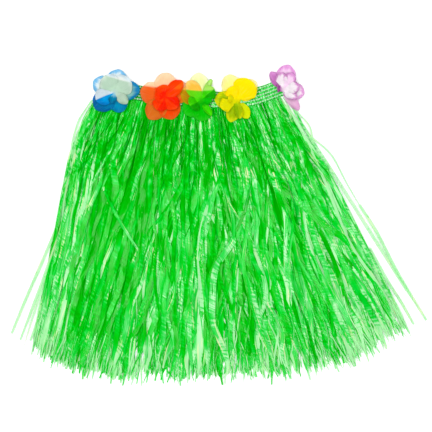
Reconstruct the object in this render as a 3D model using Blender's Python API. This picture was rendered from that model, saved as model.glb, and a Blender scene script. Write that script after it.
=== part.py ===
"""Hula skirt laid flat: a shirred waistband, four layers of grass strands and five fabric flowers.

Metres, +Z up, the waistband towards +Y. The back panel of the waistband rests on Z = 0.
"""

import math
import random
from collections import namedtuple

import bmesh
import bpy
from mathutils import Vector

MM = 0.001

# Clearance between pieces that touch on the real skirt
SEAM_GAP = 0.3

# Waistband, in millimetres: a tube of gathered cloth, pressed flat
PANEL_WALL = 2.0
GATHER_RISE = 0.8
GATHERS = 52
ELASTIC_ROWS = 5
ROW_RISE_SHARE = 0.3
EDGE_RISE_SHARE = 0.5
CREST_SWELL = (0.75, 1.0)
TROUGH_SWELL = (0.0, 0.2)
SCALLOP = 0.5
FOLD_ROUNDING = 2.6
FOLD_EDGE_SHARE = 0.45
FOLD_COLUMN = 0.9
BACK_WALL = 2.8
BACK_CHAMFER = 0.8
BACK_COLUMNS = 28
GATHER_SEED = 5

# Places on the laid skirt are in millimetres from its middle, X to the right and Y up.
# One row for each station along the waistband, from the left fold to the right fold.
Station = namedtuple("Station", "top_x top_y low_x low_y")
WAISTBAND = (
    Station(-159.2, 209.2, -169.6, 184.2),
    Station(-120.0, 198.2, -126.5, 177.4),
    Station(-80.0, 191.8, -83.5, 171.6),
    Station(-39.0, 188.5, -40.0, 166.8),
    Station(2.0, 187.6, 3.5, 165.2),
    Station(42.5, 191.0, 48.0, 168.4),
    Station(79.8, 202.9, 91.0, 183.1),
)

# Hem of the grass, from left to right
Place = namedtuple("Place", "x y")
HEM = (
    Place(-257.0, -170.0),
    Place(-221.0, -192.5),
    Place(-165.4, -208.0),
    Place(-95.9, -213.5),
    Place(-26.4, -212.0),
    Place(43.1, -212.5),
    Place(112.6, -206.0),
    Place(168.2, -192.5),
    Place(216.8, -174.4),
    Place(262.7, -145.0),
)

# Where a strand that starts at this share of the waistband ends along the hem
Spread = namedtuple("Spread", "root hem")
SPREAD = (
    Spread(0.0, 0.0),
    Spread(0.2, 0.12),
    Spread(0.4, 0.28),
    Spread(0.6, 0.50),
    Spread(0.8, 0.78),
    Spread(1.0, 1.0),
)
LEFT_BULGE = 18.0
RIGHT_BULGE = 7.0
BULGE_REACH = 0.35
BULGE_AT = 0.22

# Heading strip that holds the strands of one layer, and the strands themselves
STRIP_THICK = 1.1
STRIP_DEPTH = 4.0
STRIP_COLUMNS = 18
STRIP_LOWEST = 0.4
STRANDS = 52
STRAND_HEIGHT = 1.1
STRAND_FILL = 0.8
STRAND_WIDEST = 9.5
TIP_TAPER = 0.55
RIDGE_SIDE_SHARE = 0.25
RIDGE_TURNS = 1.7
RIDGE_STEP = 0.37
CURL_FULL_AT = 0.5
CURL_CHANCE = (-0.6, 1.0)
STRAND_STATIONS = (0.05, 0.22, 0.4, 0.58, 0.78)
LENGTH_SCATTER = 0.03
WAVE_LENGTHS = (1.4, 3.2)

# Lanes that keep the strands of a layer apart, at stations down the skirt
Lane = namedtuple("Lane", "down scatter clump waves")
LANES = (
    Lane(0.0, 0.12, 0.0, 0.0),
    Lane(0.3, 0.45, 0.28, 2.0),
    Lane(0.65, 0.5, 0.36, 3.0),
    Lane(1.0, 0.6, 0.32, 2.0),
)

# Depth of the pile: distance between layers and room for each strand to wave, down the skirt
Pile = namedtuple("Pile", "down pitch wave")
PILE = (
    Pile(0.0, STRIP_THICK + SEAM_GAP, 0.0),
    Pile(0.12, 1.9, 0.15),
    Pile(0.35, 3.2, 0.75),
    Pile(0.7, 2.8, 0.55),
    Pile(1.0, 2.3, 0.35),
)

# Layers of grass from the underside up. Flares push the outermost strands of a side outwards,
# first the outermost one, in millimetres at the hem. Curls lift the topmost strands.
Grass = namedtuple("Grass", "name level ridge seed curl left_flares right_flares colour")
GRASS = (
    Grass("grass_back_outer", 0, -1, 11, 0.0, (9.0,), (7.0, 2.0), (0.03, 0.46, 0.06)),
    Grass("grass_back_inner", 1, -1, 23, 0.0, (26.0, 9.0), (5.0,), (0.02, 0.38, 0.04)),
    Grass("grass_front_inner", 2, 1, 37, 0.0, (15.0, 4.0), (12.0, 3.0), (0.03, 0.5, 0.05)),
    Grass(
        "grass_front_outer", 3, 1, 53, 3.0, (38.0, 16.0, 4.0), (34.0, 9.0, 3.0), (0.06, 0.62, 0.09)
    ),
)
LEFT_FLARE_FROM = 0.5
RIGHT_FLARE_FROM = 0.18

# Flowers, sewn to the waistband through their middle
PETAL_WALL = 1.0
HUB_RADIUS = 5.5
HUB_GAP_DEGREES = 5.0
WIDEST_ROOT_DEGREES = 38.0
PETAL_RINGS = (0.0, 0.42, 0.76, 1.0)
PETAL_ACROSS = (-1.0, -0.5, 0.0, 0.5, 1.0)
PETAL_CLEAR = 0.35
TIP_ROUNDING = 0.16
BLADE_ROOT = 0.5
BLADE_REACH = 0.8
BLADE_POWER = 0.7
LIFT_POWER = 1.2
NORMAL_STEP = 0.05

# One row for each petal: its direction in degrees from +X, its length from the flower's middle,
# its width, the rise of its tip and the rise of its two edges over its midrib, in millimetres
Petal = namedtuple("Petal", "turn length width lift cup")
Flower = namedtuple("Flower", "name x y under upper colour")
FLOWERS = (
    Flower(
        "flower_blue", -144.6, 187.0,
        (
            Petal(80, 31, 27, 6, 2), Petal(160, 32, 25, 4, 3), Petal(228, 35, 28, 4, 2),
            Petal(286, 30, 24, 4, 2), Petal(4, 35, 25, 5, 2),
        ),
        (
            Petal(45, 22, 19, 11, 3), Petal(118, 21, 19, 12, 3), Petal(196, 21, 18, 12, 3),
            Petal(260, 22, 18, 10, 3), Petal(332, 25, 20, 9, 3),
        ),
        (0.05, 0.42, 0.86),
    ),
    Flower(
        "flower_orange", -75.0, 180.0,
        (
            Petal(85, 33, 29, 6, 2), Petal(166, 35, 29, 4, 2), Petal(237, 38, 25, 4, 3),
            Petal(290, 32, 28, 4, 2), Petal(28, 36, 31, 1, 1),
        ),
        (
            Petal(50, 31, 20, 13, 3), Petal(125, 22, 20, 12, 3), Petal(200, 21, 18, 12, 3),
            Petal(262, 20, 18, 10, 3), Petal(330, 20, 18, 14, 3),
        ),
        (0.95, 0.2, 0.05),
    ),
    Flower(
        "flower_green", -25.0, 176.0,
        (
            Petal(94, 37, 26, 6, 2), Petal(150, 19, 16, 4, 2), Petal(208, 20, 20, 3, 2),
            Petal(268, 29, 30, 4, 1), Petal(52, 31, 13, 4, 2),
        ),
        (
            Petal(62, 25, 16, 13, 3), Petal(128, 22, 18, 13, 3), Petal(200, 26, 18, 11, 3),
            Petal(300, 29, 14, 9, 3), Petal(10, 17, 14, 13, 3),
        ),
        (0.12, 0.72, 0.02),
    ),
    Flower(
        "flower_yellow", 25.0, 174.5,
        (
            Petal(112, 37, 28, 6, 2), Petal(54, 37, 24, 5, 2), Petal(180, 30, 26, 4, 2),
            Petal(258, 30, 22, 4, 2), Petal(305, 29, 20, 4, 2),
        ),
        (
            Petal(30, 31, 30, 9, 2), Petal(100, 20, 18, 13, 3), Petal(168, 20, 16, 12, 3),
            Petal(216, 25, 18, 9, 3), Petal(285, 21, 18, 11, 3),
        ),
        (0.98, 0.86, 0.02),
    ),
    Flower(
        "flower_purple", 89.0, 191.1,
        (
            Petal(127, 27, 18, 4, 3), Petal(80, 34, 24, 3, 2), Petal(30, 20, 15, 4, 2),
            Petal(345, 31, 20, 3, 2), Petal(304, 35, 15, 3, 3),
        ),
        (
            Petal(96, 25, 15, 10, 3), Petal(52, 27, 16, 12, 3), Petal(8, 24, 17, 13, 3),
            Petal(325, 27, 16, 10, 3), Petal(180, 9, 10, 9, 1),
        ),
        (0.78, 0.36, 0.74),
    ),
)

BAND_COLOUR = (0.03, 0.4, 0.05)
FRONT_INSIDE = BACK_WALL + SEAM_GAP
FRONT_TOP = FRONT_INSIDE + PANEL_WALL + GATHER_RISE


def smooth(value):
    """Eased step from 0 to 1."""
    held = min(max(value, 0.0), 1.0)
    return held * held * (3.0 - 2.0 * held)


def curve_through(rows, share):
    """Smooth curve through the rows, read at a share of its length in rows."""
    last = len(rows) - 1
    reached = min(max(share, 0.0), 1.0) * last
    first = min(int(reached), last - 1)
    along = reached - first
    picked = [rows[min(max(index, 0), last)] for index in range(first - 1, first + 3)]
    return [
        0.5
        * (
            2.0 * b
            + (c - a) * along
            + (2.0 * a - 5.0 * b + 4.0 * c - d) * along**2
            + (3.0 * b - a - 3.0 * c + d) * along**3
        )
        for a, b, c, d in zip(*picked)
    ]


def between(rows, value):
    """The last columns of the rows, eased between the rows on each side of value."""
    for before, after in zip(rows, rows[1:]):
        if value <= after[0]:
            break
    share = smooth((value - before[0]) / (after[0] - before[0]))
    return [a + (b - a) * share for a, b in zip(before[1:], after[1:])]


def hem_share(root):
    """Share of the hem that a strand from this share of the waistband reaches."""
    for before, after in zip(SPREAD, SPREAD[1:]):
        if root <= after.root:
            break
    share = (root - before.root) / (after.root - before.root)
    return before.hem + (after.hem - before.hem) * share


def band_point(along, up):
    """Point of the waistband's plan: along from the left fold, up from its lower edge."""
    top_x, top_y, low_x, low_y = curve_through(WAISTBAND, along)
    return Vector((low_x + (top_x - low_x) * up, low_y + (top_y - low_y) * up))


def below_band(along, distance):
    """Point at a distance below the waistband's lower edge, in line with its height."""
    low = band_point(along, 0.0)
    return low + (low - band_point(along, 1.0)).normalized() * distance


def strand_point(along, down, flare=0.0):
    """Plan of the grass: along from left to right, down from the heading strip to the hem."""
    root = below_band(along, SEAM_GAP + STRIP_DEPTH)
    run = Vector(curve_through(HEM, hem_share(along))) - root
    side = -1.0 if along < 0.5 else 1.0
    outward = Vector((-run.y, run.x)).normalized() * side
    reach = max(0.0, 1.0 - min(along, 1.0 - along) / BULGE_REACH) ** 2
    bulge = (LEFT_BULGE if side < 0 else RIGHT_BULGE) * reach
    shape = down / BULGE_AT * math.exp(1.0 - down / BULGE_AT)
    flare_from = LEFT_FLARE_FROM if side < 0 else RIGHT_FLARE_FROM
    spread = flare * max(0.0, (down - flare_from) / (1.0 - flare_from))
    return root + run * down + outward * (bulge * shape + spread)


def add_body(name, shape, colour):
    """Links a closed mesh as one object, in metres, with its own material."""
    mesh = bpy.data.meshes.new(name)
    for vertex in shape.verts:
        vertex.co *= MM
    shape.to_mesh(mesh)
    shape.free()
    mesh.shade_smooth()
    mesh.set_sharp_from_angle(angle=math.radians(32.0))
    material = bpy.data.materials.new(name)
    material.use_nodes = True
    surface = material.node_tree.nodes["Principled BSDF"]
    surface.inputs["Base Color"].default_value = (*colour, 1.0)
    surface.inputs["Roughness"].default_value = 0.5
    surface.inputs["Metallic"].default_value = 0.0
    mesh.materials.append(material)
    body = bpy.data.objects.new(name, mesh)
    bpy.context.scene.collection.objects.link(body)
    return body


def walls(shape, lower, upper, skipped=()):
    """Side faces between two rings that run the same way round, apart from the skipped edges."""
    count = len(lower)
    for index in range(count):
        following = (index + 1) % count
        if index not in skipped:
            shape.faces.new((lower[index], lower[following], upper[following], upper[index]))


def ring(shape, points, height):
    return [shape.verts.new((point.x, point.y, height)) for point in points]


def band_outline(columns, rows, inset):
    """The waistband's edge in plan, counter-clockwise, drawn in by a share of its size."""
    low = [band_point(c, inset.y) for c in columns]
    right = [band_point(columns[-1], inset.y + (1.0 - 2.0 * inset.y) * r) for r in rows[1:-1]]
    top = [band_point(c, 1.0 - inset.y) for c in reversed(columns)]
    left = [band_point(columns[0], inset.y + (1.0 - 2.0 * inset.y) * r) for r in rows[-2:0:-1]]
    return low + right + top + left


def waistband_back():
    """Plain panel whose underside rests flat, with its edges eased."""
    length = (band_point(1.0, 0.5) - band_point(0.0, 0.5)).length
    height = (band_point(0.5, 1.0) - band_point(0.5, 0.0)).length
    inset = Vector((BACK_CHAMFER / length, BACK_CHAMFER / height))
    outer = [index / BACK_COLUMNS for index in range(BACK_COLUMNS + 1)]
    inner = [inset.x + (1.0 - 2.0 * inset.x) * share for share in outer]
    shape = bmesh.new()
    underside = ring(shape, band_outline(inner, (0.0, 1.0), inset), 0.0)
    waist = ring(shape, band_outline(outer, (0.0, 1.0), Vector((0.0, 0.0))), BACK_CHAMFER)
    inside = ring(shape, band_outline(outer, (0.0, 1.0), Vector((0.0, 0.0))), BACK_WALL)
    shape.faces.new(list(reversed(underside)))
    walls(shape, underside, waist)
    walls(shape, waist, inside)
    shape.faces.new(inside)
    return add_body("waistband_back", shape, BAND_COLOUR)


def fold_drop(distance):
    """Share of the wall's height that is left near a side fold."""
    reached = min(distance / FOLD_ROUNDING, 1.0)
    round_share = math.sqrt(1.0 - (1.0 - reached) ** 2)
    return FOLD_EDGE_SHARE + (1.0 - FOLD_EDGE_SHARE) * round_share


def waistband_front():
    """Panel with its gathers and the elastic rows raised on the outside, over a plain inside."""
    chance = random.Random(GATHER_SEED)
    length = (band_point(1.0, 0.5) - band_point(0.0, 0.5)).length
    ends = [0.0, FOLD_COLUMN / length]
    columns = ends + [
        (index + 1) / (2 * GATHERS + 2) for index in range(2 * GATHERS + 1)
    ] + [1.0 - share for share in reversed(ends)]
    row_count = 2 * ELASTIC_ROWS + 1
    rows = [index / (row_count - 1) for index in range(row_count)]
    shape = bmesh.new()
    outside = []
    for number, along in enumerate(columns):
        crest = number % 2 == 1
        swell = chance.uniform(*(CREST_SWELL if crest else TROUGH_SWELL))
        distance = min(along, 1.0 - along) * length
        column = []
        for level, up in enumerate(rows):
            on_elastic = level % 2 == 1
            at_edge = level in (0, row_count - 1)
            share = ROW_RISE_SHARE if on_elastic else (EDGE_RISE_SHARE if at_edge else 1.0)
            reach = SCALLOP * (swell - 1.0) * (up - 0.5) * 2.0 if at_edge else 0.0
            place = band_point(along, up)
            height = (band_point(along, 1.0) - band_point(along, 0.0)).normalized()
            place += height * reach
            rise = (PANEL_WALL + GATHER_RISE * share * swell) * fold_drop(distance)
            column.append(shape.verts.new((place.x, place.y, FRONT_INSIDE + rise)))
        outside.append(column)
    for left, right in zip(outside, outside[1:]):
        for level in range(row_count - 1):
            shape.faces.new((left[level], right[level], right[level + 1], left[level + 1]))
    edge = [column[0] for column in outside]
    edge += outside[-1][1:-1]
    edge += [column[-1] for column in reversed(outside)]
    edge += list(reversed(outside[0][1:-1]))
    inside = [shape.verts.new((v.co.x, v.co.y, FRONT_INSIDE)) for v in edge]
    walls(shape, inside, edge)
    shape.faces.new(list(reversed(inside)))
    return add_body("waistband_front", shape, BAND_COLOUR)


def lane_edges(chance, count):
    """Edges of the strands' lanes at each station, as shares of the layer's width."""
    table = []
    for lane in LANES:
        phase = chance.random()
        widths = [
            (1.0 + lane.scatter * chance.uniform(-1.0, 1.0))
            * (1.0 + lane.clump * math.sin(math.tau * (lane.waves * i / count + phase)))
            for i in range(count)
        ]
        edges = [0.0]
        for width in widths:
            edges.append(edges[-1] + width / sum(widths))
        table.append((lane.down, *edges))
    return table


def flare_of(grass, number):
    """How far this strand is pushed outwards at the hem."""
    from_right = STRANDS - 1 - number
    if number < len(grass.left_flares):
        return grass.left_flares[number]
    if from_right < len(grass.right_flares):
        return grass.right_flares[from_right]
    return 0.0


def strand_section(grass, edges, number, down, wave, curl, taper):
    """Left corner, right corner and ridge of a strand at a distance down it."""
    lanes = between(edges, min(down, 1.0))
    middle = 0.5 * (lanes[number] + lanes[number + 1])
    half = 0.5 * STRAND_FILL * (lanes[number + 1] - lanes[number])
    flare = flare_of(grass, number)
    left = strand_point(middle - half, down, flare)
    right = strand_point(middle + half, down, flare)
    centre = 0.5 * (left + right)
    across = right - left
    across *= min(1.0, STRAND_WIDEST / across.length) * taper
    pitch, room = between(PILE, min(down, 1.0))
    lowest = STRIP_LOWEST + 0.5 * STRAND_HEIGHT + room
    height = lowest + grass.level * pitch + room * wave + curl * smooth(down / CURL_FULL_AT)
    side = RIDGE_SIDE_SHARE * math.sin(math.tau * (number * RIDGE_STEP + down * RIDGE_TURNS))
    base = height - 0.5 * STRAND_HEIGHT * grass.ridge
    crest = height + 0.5 * STRAND_HEIGHT * grass.ridge
    return (
        Vector((*(centre - 0.5 * across), base)),
        Vector((*(centre + 0.5 * across), base)),
        Vector((*(centre + side * across), crest)),
    )


def grow_strand(shape, root, sections, ridge):
    """Three-sided strand from the four corners of its root to its torn tip.

    The root's corners run lower left, lower right, upper right, upper left. A strand with its
    ridge up keeps the lower two as its base, and one with its ridge down the upper two.
    """
    lower_left, lower_right, upper_right, upper_left = root
    placed = [[shape.verts.new(point) for point in section] for section in sections]
    left, right, crest = placed[0]
    if ridge > 0:
        shape.faces.new((lower_left, lower_right, right, left))
        shape.faces.new((lower_right, upper_right, crest, right))
        shape.faces.new((upper_right, upper_left, crest))
        shape.faces.new((upper_left, lower_left, left, crest))
    else:
        shape.faces.new((upper_right, upper_left, left, right))
        shape.faces.new((upper_left, lower_left, crest, left))
        shape.faces.new((lower_left, lower_right, crest))
        shape.faces.new((lower_right, upper_right, right, crest))
        placed = [[right, left, crest] for left, right, crest in placed]
    for before, after in zip(placed, placed[1:]):
        for corner in range(3):
            following = (corner + 1) % 3
            shape.faces.new((before[corner], before[following], after[following], after[corner]))
    shape.faces.new(placed[-1])


def grass_layer(grass):
    """Heading strip with its strands, which stand apart below it."""
    chance = random.Random(grass.seed)
    edges = lane_edges(chance, STRANDS)
    lanes = edges[0][1:]
    bottom = STRIP_LOWEST + grass.level * (STRIP_THICK + SEAM_GAP)
    depth = SEAM_GAP + STRIP_DEPTH
    lower_edge = [below_band(0.0, depth)]
    for number in range(STRANDS):
        middle = 0.5 * (lanes[number] + lanes[number + 1])
        half = 0.5 * STRAND_FILL * (lanes[number + 1] - lanes[number])
        lower_edge.append(below_band(middle - half, depth))
        lower_edge.append(below_band(middle + half, depth))
    lower_edge.append(below_band(1.0, depth))
    upper_edge = [
        below_band(1.0 - index / STRIP_COLUMNS, SEAM_GAP) for index in range(STRIP_COLUMNS + 1)
    ]
    shape = bmesh.new()
    floor_ring = ring(shape, lower_edge + upper_edge, bottom)
    roof_ring = ring(shape, lower_edge + upper_edge, bottom + STRIP_THICK)
    roots = [2 * number + 1 for number in range(STRANDS)]
    shape.faces.new(list(reversed(floor_ring)))
    shape.faces.new(roof_ring)
    walls(shape, floor_ring, roof_ring, roots)
    for number, at in enumerate(roots):
        waves = chance.uniform(*WAVE_LENGTHS)
        phase = chance.random()
        curl = grass.curl * max(0.0, chance.uniform(*CURL_CHANCE))
        end = 1.0 + chance.uniform(-LENGTH_SCATTER, LENGTH_SCATTER)
        sections = [
            strand_section(
                grass, edges, number, down, math.sin(math.tau * (waves * down + phase)), curl, 1.0
            )
            for down in STRAND_STATIONS
        ]
        tip_wave = math.sin(math.tau * (waves * end + phase))
        sections.append(
            strand_section(grass, edges, number, end, tip_wave, curl, TIP_TAPER)
        )
        root = (floor_ring[at], floor_ring[at + 1], roof_ring[at + 1], roof_ring[at])
        grow_strand(shape, root, sections, grass.ridge)
    return add_body(grass.name, shape, grass.colour)


def root_halves(petals):
    """Half the angle that each petal may take at the hub, in degrees, clear of its neighbours."""
    halves = []
    for petal in petals:
        turns = [abs((other.turn - petal.turn + 180) % 360 - 180) for other in petals]
        nearest = min(turn for turn in turns if turn > 0)
        halves.append(min(WIDEST_ROOT_DEGREES, 0.5 * (nearest - HUB_GAP_DEGREES)))
    return halves


def blade(share):
    """Width of a petal against its widest, from the hub to its round tip."""
    swell = math.sin(math.pi * min(1.0, BLADE_REACH * share)) ** BLADE_POWER
    return BLADE_ROOT + (1.0 - BLADE_ROOT) * swell


def petal_point(petal, half_turn, base, share, across):
    """Point on a petal's middle surface, from the flower's centre."""
    turn = math.radians(petal.turn)
    if share == 0.0:
        angle = turn + math.radians(half_turn) * across
        return Vector((HUB_RADIUS * math.cos(angle), HUB_RADIUS * math.sin(angle), base))
    rounding = TIP_ROUNDING * across**2 * share
    distance = HUB_RADIUS + (petal.length - HUB_RADIUS) * (share - rounding)
    widest = math.tan(math.radians(half_turn)) * distance - PETAL_CLEAR
    half = min(0.5 * petal.width * blade(share), widest)
    rise = petal.lift * share**LIFT_POWER + petal.cup * across**2 * share
    outward = Vector((math.cos(turn), math.sin(turn), 0.0))
    sideways = Vector((-math.sin(turn), math.cos(turn), 0.0))
    return outward * distance + sideways * (across * half) + Vector((0.0, 0.0, base + rise))


def petal_normal(petal, half_turn, base, share, across):
    """Direction out of a petal's upper side."""
    if share == 0.0:
        return Vector((0.0, 0.0, 1.0))
    here = petal_point(petal, half_turn, base, share, across)
    inner = petal_point(petal, half_turn, base, share - NORMAL_STEP, across)
    right = petal_point(petal, half_turn, base, share, across - NORMAL_STEP)
    left = petal_point(petal, half_turn, base, share, across + NORMAL_STEP)
    return (here - inner).cross(left - right).normalized()


def flower_layer(name, centre, base, petals, colour):
    """One fabric cut-out: a small hub with five petals."""
    petals = sorted(petals, key=lambda petal: petal.turn % 360)
    halves = root_halves(petals)
    middle = Vector((centre.x, centre.y, 0.0))
    shape = bmesh.new()
    grids = []
    for petal, half in zip(petals, halves):
        tops = []
        bottoms = []
        for share in PETAL_RINGS:
            points = [
                (
                    petal_point(petal, half, base, share, across) + middle,
                    petal_normal(petal, half, base, share, across) * (0.5 * PETAL_WALL),
                )
                for across in PETAL_ACROSS
            ]
            tops.append([shape.verts.new(point + normal) for point, normal in points])
            bottoms.append([shape.verts.new(point - normal) for point, normal in points])
        grids.append((tops, bottoms))
    hub_top = [vertex for tops, _ in grids for vertex in tops[0]]
    hub_bottom = [vertex for _, bottoms in grids for vertex in bottoms[0]]
    shape.faces.new(hub_top)
    shape.faces.new(list(reversed(hub_bottom)))
    across = len(PETAL_ACROSS)
    roots = [index for index in range(len(hub_top)) if index % across != across - 1]
    walls(shape, hub_bottom, hub_top, roots)
    for tops, bottoms in grids:
        for ring_index in range(len(PETAL_RINGS) - 1):
            top, next_top = tops[ring_index], tops[ring_index + 1]
            low, next_low = bottoms[ring_index], bottoms[ring_index + 1]
            for j in range(across - 1):
                shape.faces.new((top[j + 1], top[j], next_top[j], next_top[j + 1]))
                shape.faces.new((low[j], low[j + 1], next_low[j + 1], next_low[j]))
            shape.faces.new((low[-1], top[-1], next_top[-1], next_low[-1]))
            shape.faces.new((top[0], low[0], next_low[0], next_top[0]))
        for j in range(across - 1):
            shape.faces.new((bottoms[-1][j], bottoms[-1][j + 1], tops[-1][j + 1], tops[-1][j]))
    return add_body(name, shape, colour)


def stand_on_origin(bodies):
    """Moves the skirt so that its box stands on the origin by the middle of its underside."""
    corners = [vertex.co for body in bodies for vertex in body.data.vertices]
    low = Vector(min(corner[axis] for corner in corners) for axis in range(3))
    high = Vector(max(corner[axis] for corner in corners) for axis in range(3))
    shift = Vector((-0.5 * (low.x + high.x), -0.5 * (low.y + high.y), -low.z))
    for body in bodies:
        for vertex in body.data.vertices:
            vertex.co += shift


def main():
    for old in list(bpy.data.objects):
        bpy.data.objects.remove(old)
    bodies = [waistband_back(), waistband_front()]
    bodies += [grass_layer(grass) for grass in GRASS]
    under = FRONT_TOP + SEAM_GAP + 0.5 * PETAL_WALL
    for flower in FLOWERS:
        centre = Vector((flower.x, flower.y))
        upper = under + PETAL_WALL + SEAM_GAP
        bodies.append(
            flower_layer(flower.name + "_under", centre, under, flower.under, flower.colour)
        )
        bodies.append(
            flower_layer(flower.name + "_upper", centre, upper, flower.upper, flower.colour)
        )
    stand_on_origin(bodies)


main()
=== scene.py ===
"""Looks of the hula skirt: film grass, gathered waistband, elastic thread, fabric flowers and the stage."""

import math
import random
from collections import namedtuple

import bmesh
import bpy
from bpy.props import FloatProperty, FloatVectorProperty, IntProperty, PointerProperty
from bpy.types import Operator, Panel, PropertyGroup
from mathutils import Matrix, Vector


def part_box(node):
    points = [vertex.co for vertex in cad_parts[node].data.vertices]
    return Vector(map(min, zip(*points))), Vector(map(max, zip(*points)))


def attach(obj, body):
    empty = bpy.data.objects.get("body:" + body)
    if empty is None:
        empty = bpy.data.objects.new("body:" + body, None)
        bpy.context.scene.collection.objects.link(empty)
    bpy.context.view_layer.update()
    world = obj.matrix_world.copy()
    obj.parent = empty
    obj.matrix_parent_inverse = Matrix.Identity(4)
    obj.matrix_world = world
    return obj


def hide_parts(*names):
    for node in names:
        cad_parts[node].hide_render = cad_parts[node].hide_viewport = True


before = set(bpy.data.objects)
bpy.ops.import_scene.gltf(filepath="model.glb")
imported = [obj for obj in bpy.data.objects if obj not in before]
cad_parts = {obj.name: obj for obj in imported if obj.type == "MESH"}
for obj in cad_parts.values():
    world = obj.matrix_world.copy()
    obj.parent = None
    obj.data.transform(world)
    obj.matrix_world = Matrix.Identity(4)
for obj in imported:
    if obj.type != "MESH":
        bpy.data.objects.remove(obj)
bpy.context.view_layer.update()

bl_info = {
    "name": "Hula Skirt",
    "version": (1, 0, 0),
    "blender": (4, 5, 0),
    "location": "View3D > Sidebar > Hula Skirt",
    "description": "Builds the grass, waistband, elastic and flowers of a hula skirt on its solids",
    "category": "Add Mesh",
}

# The box of the node that shows where the plan below lies in the frame
BACK_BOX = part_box("waistband_back")

# Plan of the waistband from its left fold to its right: a point of the top edge, then of the lower
Station = namedtuple("Station", "top_x top_y low_x low_y")
WAISTBAND = (
    Station(-0.1592, 0.2092, -0.1696, 0.1842),
    Station(-0.1200, 0.1982, -0.1265, 0.1774),
    Station(-0.0800, 0.1918, -0.0835, 0.1716),
    Station(-0.0390, 0.1885, -0.0400, 0.1668),
    Station(0.0020, 0.1876, 0.0035, 0.1652),
    Station(0.0425, 0.1910, 0.0480, 0.1684),
    Station(0.0798, 0.2029, 0.0910, 0.1831),
)
SHIFT = Vector((BACK_BOX[0].x - WAISTBAND[0].low_x, BACK_BOX[1].y - WAISTBAND[0].top_y))

# Plan of the hem from left to right
Place = namedtuple("Place", "x y")
HEM = (
    Place(-0.2570, -0.1700),
    Place(-0.2210, -0.1925),
    Place(-0.1654, -0.2080),
    Place(-0.0959, -0.2135),
    Place(-0.0264, -0.2120),
    Place(0.0431, -0.2125),
    Place(0.1126, -0.2060),
    Place(0.1682, -0.1925),
    Place(0.2168, -0.1744),
    Place(0.2627, -0.1450),
)

# Share of the waistband where a strip starts, and the share of the hem that it reaches
Spread = namedtuple("Spread", "root hem")
SPREAD = (
    Spread(0.0, 0.0), Spread(0.2, 0.12), Spread(0.4, 0.28),
    Spread(0.6, 0.50), Spread(0.8, 0.78), Spread(1.0, 1.0),
)

# The sides of the grass swell out below the waistband
LEFT_BULGE = 0.0150
RIGHT_BULGE = 0.0035
BULGE_REACH = 0.35
BULGE_AT = 0.22
LEFT_FLARE_FROM = 0.5
RIGHT_FLARE_FROM = 0.18

# The pile of layers: share of the length, step from one layer to the next, and room to wave
Pile = namedtuple("Pile", "down pitch wave")
PILE = (
    Pile(0.0, 0.0014, 0.0), Pile(0.12, 0.0019, 0.00015), Pile(0.35, 0.0032, 0.00075),
    Pile(0.7, 0.0028, 0.00055), Pile(1.0, 0.0023, 0.00035),
)
PILE_LOWEST = 0.00095
SKIRT_FRONT = 0.007
CURL_FULL_AT = 0.5
ROOT_BELOW_BAND = 0.0043
ROOT_GAP = 0.0003

# Layers of grass from the one that rests on the floor to the one on top
Layer = namedtuple("Layer", "name level seed curl left_flares right_flares strips")
LAYERS = (
    Layer("grass_back_outer", 0, 11, 0.0, (0.009,), (0.007, 0.002), "back_strips"),
    Layer("grass_back_inner", 1, 23, 0.0, (0.026, 0.009), (0.005,), "back_strips"),
    Layer("grass_front_inner", 2, 37, 0.0, (0.030, 0.015, 0.004), (0.022, 0.012, 0.003), "front_strips"),
    Layer(
        "grass_front_outer", 3, 53, 0.003,
        (0.038, 0.030, 0.022, 0.016, 0.009, 0.004), (0.034, 0.026, 0.016, 0.009, 0.003), "outer_strips",
    ),
)
# Ends above this part of the hem are torn short
NOTCH_FROM = -0.0765
NOTCH_TO = -0.0672
NOTCH_REACH = 0.955
STRIP_STATIONS = 72
SPLIT_STATIONS = 12
STRIP_WIDTHS = (0.5, 0.7, 0.9, 1.0, 1.05, 1.2, 1.4)
FOLD_AT = 0.3
SHARP_EDGE = 0.7
USUAL_REACH = 0.98
MOST_REACH = 1.025
TORN_FROM = 0.82
MOST_CLEAR = 0.85
# Towards the sides, in shares of the waistband, the grass is clear and thinner, and painted paler, as light
# from the floor through the thin film
CLEAR_SIDE = 0.09
LEFT_FLANK = 0.13
RIGHT_FLANK = 0.2
FLANK_THINNING = 0.4
FLANK_PALENESS = 0.62
# A side strip that flares this far stands free of the rest, and is painted pale, as light from the floor
# through the lone film
FREE_FLARE = 0.009
FREE_TONE = 0.95
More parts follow.
